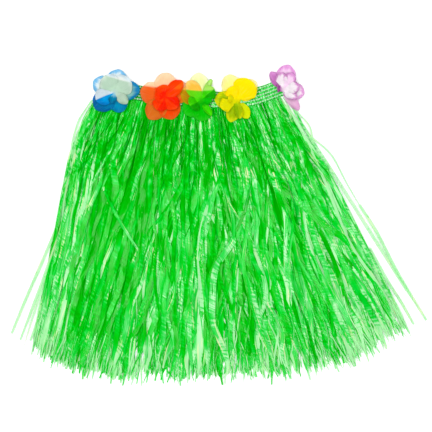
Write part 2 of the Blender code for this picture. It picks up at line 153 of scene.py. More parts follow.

# Loose strips that stand out of the mass: half width, height, clearness, tone and points of their plan. A
# tone over 1 paints a strip pale, as light from the floor through the lone film
Stray = namedtuple("Stray", "half_width height clear tone plan")
STRAYS = (
    Stray(
        0.0014, 0.0090, 0.35, 1.35,
        ((-0.176, 0.176), (-0.189, 0.157), (-0.1964, 0.1425), (-0.2043, 0.1133), (-0.206, 0.08)),
    ),
    Stray(
        0.0011, 0.0085, 0.35, 1.35,
        ((0.094, 0.176), (0.1126, 0.155), (0.1265, 0.1369), (0.1307, 0.1091), (0.131, 0.08)),
    ),
    Stray(
        0.0012, 0.0080, 0.40, 1.35,
        ((0.112, 0.146), (0.1265, 0.1262), (0.1557, 0.0996), (0.1771, 0.0607), (0.1952, 0.0299)),
    ),
    Stray(
        0.0022, 0.0190, 0.0, 0.6,
        ((-0.1585, 0.0493), (-0.146, 0.024), (-0.130, -0.004), (-0.1126, -0.0313)),
    ),
    Stray(
        0.0024, 0.0090, 0.45, 1.35,
        ((-0.2266, -0.0035), (-0.246, -0.05), (-0.268, -0.10), (-0.2884, -0.149)),
    ),
    Stray(
        0.0022, 0.0080, 0.45, 1.35,
        ((-0.2266, -0.02), (-0.243, -0.07), (-0.260, -0.115), (-0.2766, -0.1578)),
    ),
    Stray(
        0.0024, 0.0070, 0.45, 1.35,
        ((-0.222, -0.03), (-0.236, -0.08), (-0.250, -0.125), (-0.2627, -0.1592)),
    ),
    Stray(
        0.0025, 0.0090, 0.45, 1.35,
        ((0.1952, 0.0299), (0.220, -0.01), (0.250, -0.068), (0.2884, -0.1305)),
    ),
    Stray(
        0.0010, 0.0060, 0.10, 0.30,
        ((-0.0775, -0.180), (-0.0745, -0.193), (-0.0700, -0.2035), (-0.0598, -0.2141)),
    ),
    Stray(
        0.0023, 0.0075, 0.45, 1.35,
        ((0.210, -0.03), (0.232, -0.072), (0.253, -0.105), (0.2710, -0.1365)),
    ),
)

# The waistband: a tube of gathered heading pressed flat, with elastic thread round it
FRONT_INSIDE = 0.0031
FRONT_TOP = 0.0059
BACK_INSIDE = 0.0028
FOLD_MIDDLE = 0.00295
FOLD_ROUNDING = 0.0026
FOLD_INSET = 0.0012
FRONT_RISE = 0.0008
BACK_RISE = 0.0007
INSIDE_RISE = 0.0004
PANEL_WIDTH = 0.26
BAND_HEIGHT = 0.022
ELASTIC_ROWS = 5
ELASTIC_STEPS = 240
THREAD_PROUD = 0.0003
GATHER_COLUMNS = 6
FOLD_COLUMNS = 5

# How the petals are cut, lifted and folded
HUB_RADIUS = 0.0055
HUB_GAP_DEGREES = 5.0
WIDEST_ROOT_DEGREES = 38.0
PETAL_LAP = 2.0
TIP_ROUNDING = 0.24
BLADE_ROOT = 0.5
BLADE_REACH = 0.85
BLADE_POWER = 0.7
LIFT_POWER = 1.2
FOLD_SHARE = 0.85
PETAL_RINGS = 22
PETAL_COLUMNS = 18
UNDER_BASE = 0.0067
UPPER_BASE = 0.0080
# A fold raises a ridge along the petal, and one side of it shows the dye of the root, partly for the
# doubled cloth and partly as painted shade of the fold
Petal = namedtuple("Petal", "turn length width lift cup dye fold")
Flower = namedtuple("Flower", "name x y under upper")


def petal_mm(turn, length, width, lift, cup, dye, fold=0):
    """Petal with its turn in degrees and its sizes in millimetres."""
    return Petal(turn, length / 1000, width / 1000, lift / 1000, cup / 1000, dye, fold / 1000)


# Flowers: centre of each, then the petals of its under and of its upper cut
FLOWERS = (
    Flower(
        "flower_blue", -0.1446, 0.1870,
        (
            petal_mm(77, 31, 28, 6, 2, "snow"), petal_mm(153, 33, 27, 4, 3, "snow"),
            petal_mm(221, 36, 31, 4, 2, "deep"), petal_mm(288, 30, 26, 4, 2, "lagoon"),
            petal_mm(5, 35, 27, 5, 2, "sea"),
        ),
        (
            petal_mm(36, 27, 30, 9, 2, "sage"), petal_mm(122, 25, 27, 9, 2, "sage"),
            petal_mm(208, 28, 25, 10, 3, "azure", 2), petal_mm(258, 17, 11, 11, 3, "lagoon"),
            petal_mm(317, 25, 14, 9, 2, "cream"),
        ),
    ),
    Flower(
        "flower_orange", -0.0750, 0.1800,
        (
            petal_mm(86, 33, 31, 6, 2, "peach"), petal_mm(165, 35, 32, 4, 2, "peach"),
            petal_mm(234, 38, 29, 4, 3, "rust"), petal_mm(291, 33, 31, 4, 2, "flame"),
            petal_mm(20, 37, 32, 1, 1, "apricot"),
        ),
        (
            petal_mm(38, 32, 20, 11, 3, "tangerine", -2), petal_mm(110, 16, 20, 7, 2, "ember"),
            petal_mm(186, 14, 18, 8, 2, "ember"), petal_mm(240, 22, 22, 9, 2, "ember", -3),
            petal_mm(318, 24, 22, 10, 2, "ember", -3),
        ),
    ),
    Flower(
        "flower_green", -0.0250, 0.1760,
        (
            petal_mm(97, 37, 27, 6, 2, "primrose"), petal_mm(158, 30, 26, 4, 2, "gold"),
            petal_mm(222, 30, 28, 3, 2, "leaf"), petal_mm(276, 30, 31, 4, 1, "leaf"),
            petal_mm(62, 32, 9, 4, 2, "willow"),
        ),
        (
            petal_mm(38, 23, 24, 11, 2, "lime", 3), petal_mm(126, 31, 20, 7, 2, "amber"),
            petal_mm(212, 18, 22, 10, 2, "lime", -2), petal_mm(303, 27, 9, 8, 3, "lime"),
            petal_mm(352, 15, 13, 6, 3, "leaf"),
        ),
    ),
    Flower(
        "flower_yellow", 0.0250, 0.1745,
        (
            petal_mm(111, 38, 28, 6, 2, "butter"), petal_mm(47, 37, 27, 5, 2, "butter"),
            petal_mm(177, 31, 25, 4, 2, "olive"), petal_mm(252, 31, 19, 4, 2, "olive"),
            petal_mm(303, 29, 17, 4, 2, "citrus"),
        ),
        (
            petal_mm(55, 33, 36, 11, 2, "lemon"), petal_mm(118, 21, 22, 6, 2, "lemon"),
            petal_mm(166, 13, 12, 6, 2, "mustard"), petal_mm(203, 25, 22, 10, 2, "mustard"),
            petal_mm(279, 26, 12, 9, 3, "olive", 2),
        ),
    ),
    Flower(
        "flower_purple", 0.0890, 0.1911,
        (
            petal_mm(128, 29, 15, 4, 3, "plum"), petal_mm(78, 34, 27, 3, 2, "orchid"),
            petal_mm(28, 18, 15, 4, 2, "blush"), petal_mm(347, 30, 24, 3, 2, "blush"),
            petal_mm(306, 37, 14, 3, 3, "mauve"),
        ),
        (
            petal_mm(100, 22, 17, 10, 2, "blush"), petal_mm(56, 24, 18, 10, 2, "orchid"),
            petal_mm(2, 22, 18, 11, 3, "blush"), petal_mm(320, 23, 14, 9, 3, "blush"),
            petal_mm(180, 9, 11, 9, 1, "plum"),
        ),
    ),
)

# Dyes of the petals in display values: at the root, half way out and at the rim where the skirt
# lies behind, then the inner part and the rim where the petal stands out over a pale ground, painted paler
# there as light from the floor through the fabric
Dye = namedtuple("Dye", "root middle rim open_inner open_rim edge", defaults=(0.66,))
DYES = {
    "snow": Dye((196, 222, 200), (198, 222, 204), (120, 190, 220), (232, 240, 240), (124, 194, 232), 0.72),
    "deep": Dye((60, 150, 205), (0, 132, 184), (0, 106, 170), (60, 172, 232), (20, 126, 214), 0.6),
    "lagoon": Dye((120, 190, 215), (0, 156, 200), (0, 140, 190), (110, 200, 230), (0, 140, 210), 0.6),
    "sea": Dye((190, 218, 198), (146, 206, 196), (0, 140, 196), (220, 236, 230), (10, 146, 200), 0.55),
    "sage": Dye((192, 220, 196), (194, 220, 198), (214, 230, 214), (242, 245, 240), (224, 236, 240)),
    "azure": Dye((234, 240, 238), (0, 168, 234), (0, 138, 214), (238, 243, 245), (110, 192, 236), 0.5),
    "cream": Dye((196, 218, 198), (200, 222, 200), (194, 218, 192), (242, 242, 236), (230, 236, 228)),
    "peach": Dye((246, 92, 20), (242, 106, 30), (242, 118, 50), (254, 212, 170), (254, 220, 182)),
    "rust": Dye((240, 96, 18), (224, 122, 32), (230, 120, 36), (252, 196, 146), (252, 196, 146)),
    "flame": Dye((250, 56, 0), (248, 78, 2), (240, 98, 20), (253, 176, 126), (253, 184, 136)),
    "apricot": Dye((255, 108, 26), (252, 116, 26), (228, 160, 22), (253, 190, 130), (253, 206, 166)),
    "tangerine": Dye((255, 56, 0), (252, 70, 0), (252, 84, 0), (255, 108, 8), (255, 100, 6)),
    "ember": Dye((250, 30, 0), (255, 66, 4), (255, 80, 8), (255, 80, 8), (255, 90, 16)),
    "primrose": Dye((90, 216, 30), (110, 222, 30), (130, 224, 50), (238, 244, 178), (242, 246, 198)),
    "gold": Dye((150, 190, 6), (194, 144, 4), (206, 164, 6), (255, 212, 84), (255, 212, 84)),
    "amber": Dye((90, 220, 20), (110, 222, 20), (130, 222, 20), (255, 200, 72), (255, 216, 118)),
    "leaf": Dye((0, 198, 0), (0, 206, 0), (30, 208, 20), (140, 226, 90), (140, 226, 90)),
    "willow": Dye((90, 226, 36), (126, 232, 56), (136, 232, 66), (200, 238, 146), (182, 234, 110)),
    "lime": Dye((0, 178, 0), (66, 226, 0), (88, 236, 2), (186, 238, 116), (178, 236, 100)),
    "butter": Dye((242, 230, 10), (248, 234, 20), (250, 236, 44), (252, 243, 150), (252, 243, 172)),
    "olive": Dye((150, 194, 0), (176, 204, 0), (224, 228, 6), (238, 236, 70), (242, 236, 70)),
    "citrus": Dye((206, 214, 0), (226, 238, 0), (234, 240, 0), (236, 238, 90), (236, 238, 90)),
    "lemon": Dye((252, 230, 0), (255, 232, 0), (255, 234, 0), (255, 234, 0), (255, 236, 4)),
    "mustard": Dye((224, 222, 0), (236, 234, 0), (248, 240, 0), (250, 240, 50), (250, 240, 50)),
    "plum": Dye((160, 44, 150), (206, 120, 196), (214, 146, 206), (206, 130, 198), (216, 150, 210)),
    "orchid": Dye((246, 228, 240), (244, 196, 234), (230, 160, 220), (246, 220, 242), (228, 164, 221)),
    "blush": Dye((244, 232, 240), (252, 248, 250), (230, 172, 220), (248, 242, 246), (224, 164, 216), 0.72),
    "mauve": Dye((206, 150, 198), (232, 196, 222), (230, 184, 216), (232, 190, 220), (228, 174, 215)),
}
DYE_STOPS = (0.05, 0.34)
DYE_RIM = 0.92


def linear(red, green, blue):
    """Scene colour of display values from 0 to 255."""
    shares = (red / 255.0, green / 255.0, blue / 255.0)
    return tuple(s / 12.92 if s <= 0.04045 else ((s + 0.055) / 1.055) ** 2.4 for s in shares)


def smooth(value):
    """Eased step from 0 to 1."""
    held = min(max(value, 0.0), 1.0)
    return held * held * (3.0 - 2.0 * held)


def curve_through(rows, share):
    """Smooth curve through the rows, read at a share of its length in rows."""
    last = len(rows) - 1
    reached = min(max(share, 0.0), 1.0) * last
    first = min(int(reached), last - 1)
    along = reached - first
    picked = [rows[min(max(index, 0), last)] for index in range(first - 1, first + 3)]
    return [
        0.5
        * (
            2.0 * b
            + (c - a) * along
            + (2.0 * a - 5.0 * b + 4.0 * c - d) * along**2
            + (3.0 * b - a - 3.0 * c + d) * along**3
        )
        for a, b, c, d in zip(*picked)
    ]


def between(rows, value):
    """The last columns of the rows, eased between the rows on each side of value."""
    for before, after in zip(rows, rows[1:]):
        if value <= after[0]:
            break
    share = smooth((value - before[0]) / (after[0] - before[0]))
    return [a + (b - a) * share for a, b in zip(before[1:], after[1:])]


def hem_share(root):
    """Share of the hem that a strip from this share of the waistband reaches."""
    for before, after in zip(SPREAD, SPREAD[1:]):
        if root <= after.root:
            break
    share = (root - before.root) / (after.root - before.root)
    return before.hem + (after.hem - before.hem) * share


def band_point(along, up):
    """Point of the waistband's plan: along from the left fold, up from its lower edge."""
    top_x, top_y, low_x, low_y = curve_through(WAISTBAND, along)
    return Vector((low_x + (top_x - low_x) * up, low_y + (top_y - low_y) * up))


def below_band(along, distance):
    """Point at a distance below the waistband's lower edge, in line with its height."""
    low = band_point(along, 0.0)
    return low + (low - band_point(along, 1.0)).normalized() * distance


def strand_point(along, down, flare=0.0):
    """Plan of the grass: along from left to right, down from the heading to the hem."""
    root = below_band(along, ROOT_BELOW_BAND)
    run = Vector(curve_through(HEM, hem_share(along))) - root
    side = -1.0 if along < 0.5 else 1.0
    outward = Vector((-run.y, run.x)).normalized() * side
    reach = max(0.0, 1.0 - min(along, 1.0 - along) / BULGE_REACH) ** 2
    bulge = (LEFT_BULGE if side < 0 else RIGHT_BULGE) * reach
    shape = down / BULGE_AT * math.exp(1.0 - down / BULGE_AT)
    flare_from = LEFT_FLARE_FROM if side < 0 else RIGHT_FLARE_FROM
    spread = flare * max(0.0, (down - flare_from) / (1.0 - flare_from))
    return root + run * down + outward * (bulge * shape + spread)


def placed(plan, height):
    """Point of the frame over a point of the plan."""
    return Vector((plan.x + SHIFT.x, plan.y + SHIFT.y, height))


class Socket:
    """A node's output in an expression: each operator on it adds a Math node."""

    def __init__(self, tree, output):
        self.tree = tree
        self.output = output

    def maths(self, operation, *values):
        return self.tree.add("ShaderNodeMath", {"operation": operation}, dict(enumerate(values)))

    def __add__(self, other):
        return self.maths("ADD", self, other)

    def __sub__(self, other):
        return self.maths("SUBTRACT", self, other)

    def __rsub__(self, other):
        return self.maths("SUBTRACT", other, self)

    def __mul__(self, other):
        return self.maths("MULTIPLY", self, other)

    __radd__ = __add__

    def beside(self, name):
        """Another output of the same node."""
        return Socket(self.tree, self.output.node.outputs[name])

    def held(self):
        """The value kept from 0 to 1."""
        return self.tree.add(
            "ShaderNodeMath", {"operation": "ADD", "use_clamp": True}, {0: self, 1: 0.0}
        )

    def sine(self):
        return self.maths("SINE", self)

    def stepped(self, low, high):
        """Eased from 0 at low to 1 at high."""
        return self.tree.add(
            "ShaderNodeMapRange", {"interpolation_type": "SMOOTHSTEP"},
            {"Value": self, "From Min": low, "From Max": high},
        )


class Tree:
    """Adds nodes to a shader or geometry tree, settings first and then the sockets."""

    def __init__(self, tree):
        self.tree = tree
        tree.nodes.clear()

    def add(self, kind, settings=None, sockets=None, output=0):
        node = self.tree.nodes.new(kind)
        for name, value in (settings or {}).items():
            if name == "stops":
                self.set_stops(node.color_ramp.elements, value)
            else:
                setattr(node, name, value)
        for key, value in (sockets or {}).items():
            if isinstance(value, Socket):
                self.tree.links.new(value.output, node.inputs[key])
            else:
                node.inputs[key].default_value = value
        return Socket(self, node.outputs[output]) if len(node.outputs) else node

    def set_stops(self, elements, stops):
        while len(elements) < len(stops):
            elements.new(0.5)
        for element, (position, colour) in zip(elements, stops):
            element.position = position
            element.color = (*colour, 1.0)

    def attribute(self, name, output="Fac"):
        return self.add("ShaderNodeAttribute", {"attribute_name": name}, output=output)

    def noise(self, x, y, z, detail=2.0, roughness=0.5):
        """Noise from 0 to 1 on coordinates already scaled to its grain."""
        place = self.add("ShaderNodeCombineXYZ", None, {0: x, 1: y, 2: z})
        return self.add(
            "ShaderNodeTexNoise", None,
            {"Vector": place, "Scale": 1.0, "Detail": detail, "Roughness": roughness},
        )

    def mixed(self, factor, first, second, blend="MIX"):
        """Colour between two colours."""
        return self.add(
            "ShaderNodeMix", {"data_type": "RGBA", "blend_type": blend},
            {0: factor, 6: first, 7: second}, output=2,
        )

    def bump(self, height, distance):
        return self.add(
            "ShaderNodeBump", None, {"Height": height, "Distance": distance, "Strength": 1.0}
        )

    def ramp(self, value, *stops):
        """Colour along a ramp of positions and colours."""
        coloured = [(position, tuple(colour)) for position, colour in stops]
        return self.add("ShaderNodeValToRGB", {"stops": coloured}, {"Fac": value})

    def named(self, name):
        """Attribute of the geometry that the tree works on."""
        return self.add("GeometryNodeInputNamedAttribute", {"data_type": "FLOAT"}, {"Name": name})

    def shader(self, **sockets):
        """Principled shader. An underscore in a socket's name stands for a space."""
        named = {name.replace("_", " "): value for name, value in sockets.items()}
        return self.add("ShaderNodeBsdfPrincipled", None, named)

    def surface(self, **sockets):
        self.add("ShaderNodeOutputMaterial", None, {"Surface": self.shader(**sockets)})

    def thin_surface(self, share, cover, **sockets):
        """A surface that passes a share of the light through in its own colour, clear where cover falls."""
        passing = self.add("ShaderNodeBsdfTranslucent", None, {"Color": sockets["Base_Color"]})
        both = self.add("ShaderNodeMixShader", None, {0: share, 1: self.shader(**sockets), 2: passing})
        clear = self.add("ShaderNodeBsdfTransparent")
        held = self.add("ShaderNodeMixShader", None, {0: cover, 1: clear, 2: both})
        self.add("ShaderNodeOutputMaterial", None, {"Surface": held})


def new_material(name):
    material = bpy.data.materials.new(name)
    material.use_nodes = True
    return material, Tree(material.node_tree)


def film_material(settings):
    """Glossy plastic film: even dye, lengthwise streaks, crumpled patches with cross crinkles; painted
    shade and highlights.
    """
    material, tree = new_material("film")
    across = tree.attribute("across")
    run = tree.attribute("run")
    strip = tree.attribute("strip")
    tone = tree.attribute("tone")
    down = tree.attribute("down")
    # Patches along a strip are painted highlights and painted shade of the film's twist
    patches = tree.noise(strip * 91.0, run * 24.0, across * 0.3, detail=3.0)
    streaks = tree.noise(strip * 57.0 + across * 3.6, run * 9.0, 4.0, detail=3.0, roughness=0.6)
    # Crinkles: real relief in the bump, and painted glints and painted shade across the strip in the colour
    crinkles = tree.noise(strip * 33.0 + across * 0.16, run * 330.0 + across * 0.5, 9.0, roughness=0.6)
    crumpled = tree.noise(strip * 71.0, run * 22.0, 2.0).stepped(0.42, 0.54)
    place = tree.add("ShaderNodeTexCoord", output="Object")
    plan = tree.add("ShaderNodeSeparateXYZ", None, {0: place})
    locks = tree.noise(plan * 60.0, plan.beside("Y") * 20.0, 6.0, detail=3.0)
    scraps = tree.noise(strip * 77.0 + across * 0.5, run * 80.0, 3.0)
    upper = 1.0 - down.stepped(0.15, 0.55)
    # Painted light: this value runs the ramp from painted shade deep in the pile to painted highlights
    light = (
        tone
        + (patches - 0.5) * settings.patch_contrast
        + (streaks - 0.5) * settings.streak_contrast
        + (crinkles - 0.45) * crumpled * settings.crinkle_contrast
        + (down - 0.5) * 0.2
        + (scraps - 0.55) * upper * settings.scrap_contrast
        + (locks - 0.5) * settings.lock_contrast
        # Torn ends painted paler, as light from the floor through the thin film
        + tree.attribute("tip") * settings.tip_tone
    )
    shade = tree.ramp(
        light, (0.0, settings.deep_colour), (0.3, settings.shade_colour), (0.55, settings.film_colour),
        (0.8, settings.light_colour), (1.0, settings.pale_colour),
    )
    # Cream slivers painted where the film is brightest: painted glints
    glint_slivers = tree.noise(strip * 123.0 + across * 1.4, run * 16.0, 5.0).stepped(0.61, 0.68)
    cream_glint = glint_slivers * light.stepped(0.4, 0.75)
    colour = tree.mixed(cream_glint, shade, (*settings.cream_colour, 1.0))
    relief = crinkles * crumpled * settings.crinkle_share + streaks
    normal = tree.bump(relief, settings.crinkle_height)
    tree.thin_surface(
        settings.translucence,
        1.0 - tree.attribute("clear"),
        Base_Color=colour,
        Roughness=settings.film_roughness + streaks * 0.08,
        Specular_IOR_Level=settings.film_gloss,
        Normal=normal,
    )
    return material


def band_material(settings):
    """The same film pulled into fine gathers, with creases up the waistband, painted shade in the troughs
    and painted highlights and glints on the crests.
    """
    material, tree = new_material("gathered_film")
    around = tree.attribute("around")
    up = tree.attribute("up")
    creases = tree.noise(around * 330.0, up * 150.0, 1.0, detail=3.0, roughness=0.6)
    glints = tree.noise(around * 560.0, up * 320.0, 7.0, detail=2.0)
    towards_right = around.stepped(0.1, 0.2) * (1.0 - around.stepped(0.26, 0.32))
    # Painted light: painted shade in the troughs, painted highlights and glints on the crests
    light = (creases - 0.5) * 2.4 + (glints - 0.5) * 2.2 + towards_right * 0.4
    colour = tree.ramp(
        light, (0.0, settings.band_deep_colour), (0.45, settings.band_colour),
        (0.8, settings.band_light_colour), (1.0, settings.band_glint_colour),
    )
    normal = tree.bump(creases + glints, 0.0004)
    tree.surface(Base_Color=colour, Roughness=0.4, Specular_IOR_Level=0.15, Normal=normal)
    return material


def thread_material(settings):
    """Matt white thread with the turn of its plies, and painted shade in the grooves between them."""
    material, tree = new_material("elastic_thread")
    place = tree.add("ShaderNodeTexCoord", output="Object")
    plies = tree.add(
        "ShaderNodeTexWave", {"bands_direction": "DIAGONAL"},
        {"Vector": place, "Scale": 900.0, "Distortion": 1.0}, output="Fac",
    )
    soiled = tree.add("ShaderNodeTexNoise", None, {"Vector": place, "Scale": 160.0})
    # Painted shade darkens the grooves between the plies
    colour = tree.mixed(
        soiled * 0.35 + (1.0 - plies) * 0.15, (*settings.thread_colour, 1.0), (*linear(176, 196, 180), 1.0)
    )
    tree.surface(Base_Color=colour, Roughness=0.75, Normal=tree.bump(plies, 0.0001))
    return material


def petal_material(name, settings):
    """Thin woven fabric with the dye soaked in from the rim."""
    material, tree = new_material(name)
    dye = tree.attribute("dye", output="Color")
    across = tree.attribute("side")
    share = tree.attribute("out")
    turn = tree.attribute("turn")
    clouds = tree.noise(turn * 13.0 + across * 2.2, share * 2.6, turn * 5.0, detail=3.0)
    veins = tree.noise(turn * 29.0 + across * 11.0, share * 1.6, 3.0, detail=3.0)
    place = tree.add("ShaderNodeTexCoord", output="Object")
    plan = tree.add("ShaderNodeSeparateXYZ", None, {0: place})
    weave = (plan * settings.weave_density).sine() * (plan.beside("Y") * settings.weave_density).sine()
    shaded = tree.mixed((clouds - 0.42).held() * 0.35, dye, (1.0, 1.0, 1.0, 1.0), "SOFT_LIGHT")
    veined = tree.mixed((0.52 - veins).held(), shaded, dye, "MULTIPLY")
    colour = tree.mixed((veins - 0.55).held() * 0.3, veined, (1.0, 1.0, 1.0, 1.0))
    tree.thin_surface(
        settings.translucence,
        tree.attribute("cover"),
        Base_Color=colour,
        Roughness=0.7 + weave * 0.05,
        Specular_IOR_Level=0.04,
        Normal=tree.bump(veins * 1.2 + weave * 0.12, 0.0006),
    )
    return material


def floor_material(settings):
    material, tree = new_material("stage_floor")
    place = tree.add("ShaderNodeTexCoord", output="Object")
    grain = tree.add("ShaderNodeTexNoise", None, {"Vector": place, "Scale": 40.0, "Detail": 2.0})
    tree.surface(Base_Color=(*settings.floor_colour, 1.0), Roughness=0.8 + grain * 0.1)
    return material


def link_object(name, data):
    made = bpy.data.objects.new(name, data)
    bpy.context.scene.collection.objects.link(made)
    return made


def dress(piece, slot, *nodes):
    """Ties a finished piece to the frame and hides the solids that it stands for."""
    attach(piece, "root")
    if nodes:
        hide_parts(*nodes)
    return piece


def store(mesh, name, values):
    layer = mesh.attributes.new(name, "FLOAT", "POINT")
    layer.data.foreach_set("value", values)


def new_group(name, inputs):
    """Geometry tree with the named inputs, and the sockets of its group input by name."""
    group = bpy.data.node_groups.new(name, "GeometryNodeTree")
    group.interface.new_socket("Geometry", in_out="INPUT", socket_type="NodeSocketGeometry")
    for label, kind in inputs.items():
        group.interface.new_socket(label, in_out="INPUT", socket_type=f"NodeSocket{kind}")
    group.interface.new_socket("Geometry", in_out="OUTPUT", socket_type="NodeSocketGeometry")
    tree = Tree(group)
    entry = group.nodes.new("NodeGroupInput")
    return group, tree, {socket.name: Socket(tree, socket) for socket in entry.outputs if socket.name}


def end_group(tree, geometry, material):
    """Realises the copies and sets their material."""
    real = tree.add("GeometryNodeRealizeInstances", None, {"Geometry": geometry})
    finished = tree.add("GeometryNodeSetMaterial", None, {"Geometry": real, "Material": material})
    tree.add("NodeGroupOutput", None, {"Geometry": finished})


def evaluated_mesh(name, source):
    """Plain mesh of an object as its modifiers leave it."""
    graph = bpy.context.evaluated_depsgraph_get()
    mesh = bpy.data.meshes.new_from_object(
        source.evaluated_get(graph), preserve_all_data_layers=True, depsgraph=graph
    )
    mesh.name = name
    return mesh


def grown(name, guide, group, values):
    """Plain mesh object of what the tree makes from the guide, which is then removed."""
    modifier = guide.modifiers.new(group.name, "NODES")
    modifier.node_group = group
    for item in group.interface.items_tree:
        if item.in_out == "INPUT" and item.name in values:
            modifier[item.identifier] = values[item.name]
    mesh = evaluated_mesh(name, guide)
    bpy.data.objects.remove(guide)
    return link_object(name, mesh)


def film_group():
    """Sweeps a folded film section along each guide line, as wide and as turned as the line says."""
    group, tree, given = new_group(
        "film_strips",
        {
            "Fold": "Float", "Thickness": "Float", "Crumple": "Float", "Crumple Density": "Float",
            "Seed": "Float", "Material": "Material",
        },
    )
    lines = tree.add("GeometryNodeMeshToCurve", None, {"Mesh": given["Geometry"]})
    lines = tree.add("GeometryNodeSetCurveNormal", {"mode": "Z_UP"}, {"Curve": lines})
    twist = tree.named("twist")
    width = tree.named("half_width")
    lines = tree.add("GeometryNodeSetCurveTilt", None, {"Curve": lines, "Tilt": twist})
    ridge = tree.add("ShaderNodeCombineXYZ", None, {0: FOLD_AT, 1: given["Fold"]})
    valley = tree.add("ShaderNodeCombineXYZ", None, {0: FOLD_AT, 1: given["Fold"] - given["Thickness"]})
    section = tree.add(
        "GeometryNodeCurvePrimitiveQuadrilateral", {"mode": "POINTS"},
        {"Point 1": (-1.0, 0.0, 0.0), "Point 2": ridge, "Point 3": (1.0, 0.0, 0.0), "Point 4": valley},
    )
    sides = tree.add("ShaderNodeSeparateXYZ", None, {0: tree.add("GeometryNodeInputPosition")})
    section = tree.add(
        "GeometryNodeStoreNamedAttribute", {"data_type": "FLOAT"},
        {"Geometry": section, "Name": "across", "Value": sides},
    )
    film = tree.add(
        "GeometryNodeCurveToMesh", None,
        {"Curve": lines, "Profile Curve": section, "Scale": width, "Fill Caps": True},
    )
    strip, run, across = [tree.named(name) for name in ("strip", "run", "across")]
    crumples = run * given["Crumple Density"]
    grain = tree.noise(strip * 400.0 + across * 0.45, crumples, given["Seed"], detail=1.0)
    push = tree.add("ShaderNodeCombineXYZ", None, {2: (grain - 0.5) * given["Crumple"] * 2.0})
    film = tree.add("GeometryNodeSetPosition", None, {"Geometry": film, "Offset": push})
    film = tree.add("GeometryNodeSetShadeSmooth", None, {"Geometry": film, "Shade Smooth": True})
    angle = tree.add("GeometryNodeInputMeshEdgeAngle")
    film = tree.add(
        "GeometryNodeSetShadeSmooth", {"domain": "EDGE"},
        {
            "Geometry": film,
            "Selection": angle.maths("GREATER_THAN", angle, SHARP_EDGE),
            "Shade Smooth": False,
        },
    )
    end_group(tree, film, given["Material"])
    return group


# A point of a strip's guide line, with what the film needs to know there
GuidePoint = namedtuple("GuidePoint", "place half_width twist clear down tip")
Guide = namedtuple("Guide", "rows tone")


def waves_at(waves, down):
    """Sum of sine waves, each of a size, turns along the length and a phase."""
    return sum(size * math.sin(math.tau * (rate * down + phase)) for size, rate, phase in waves)


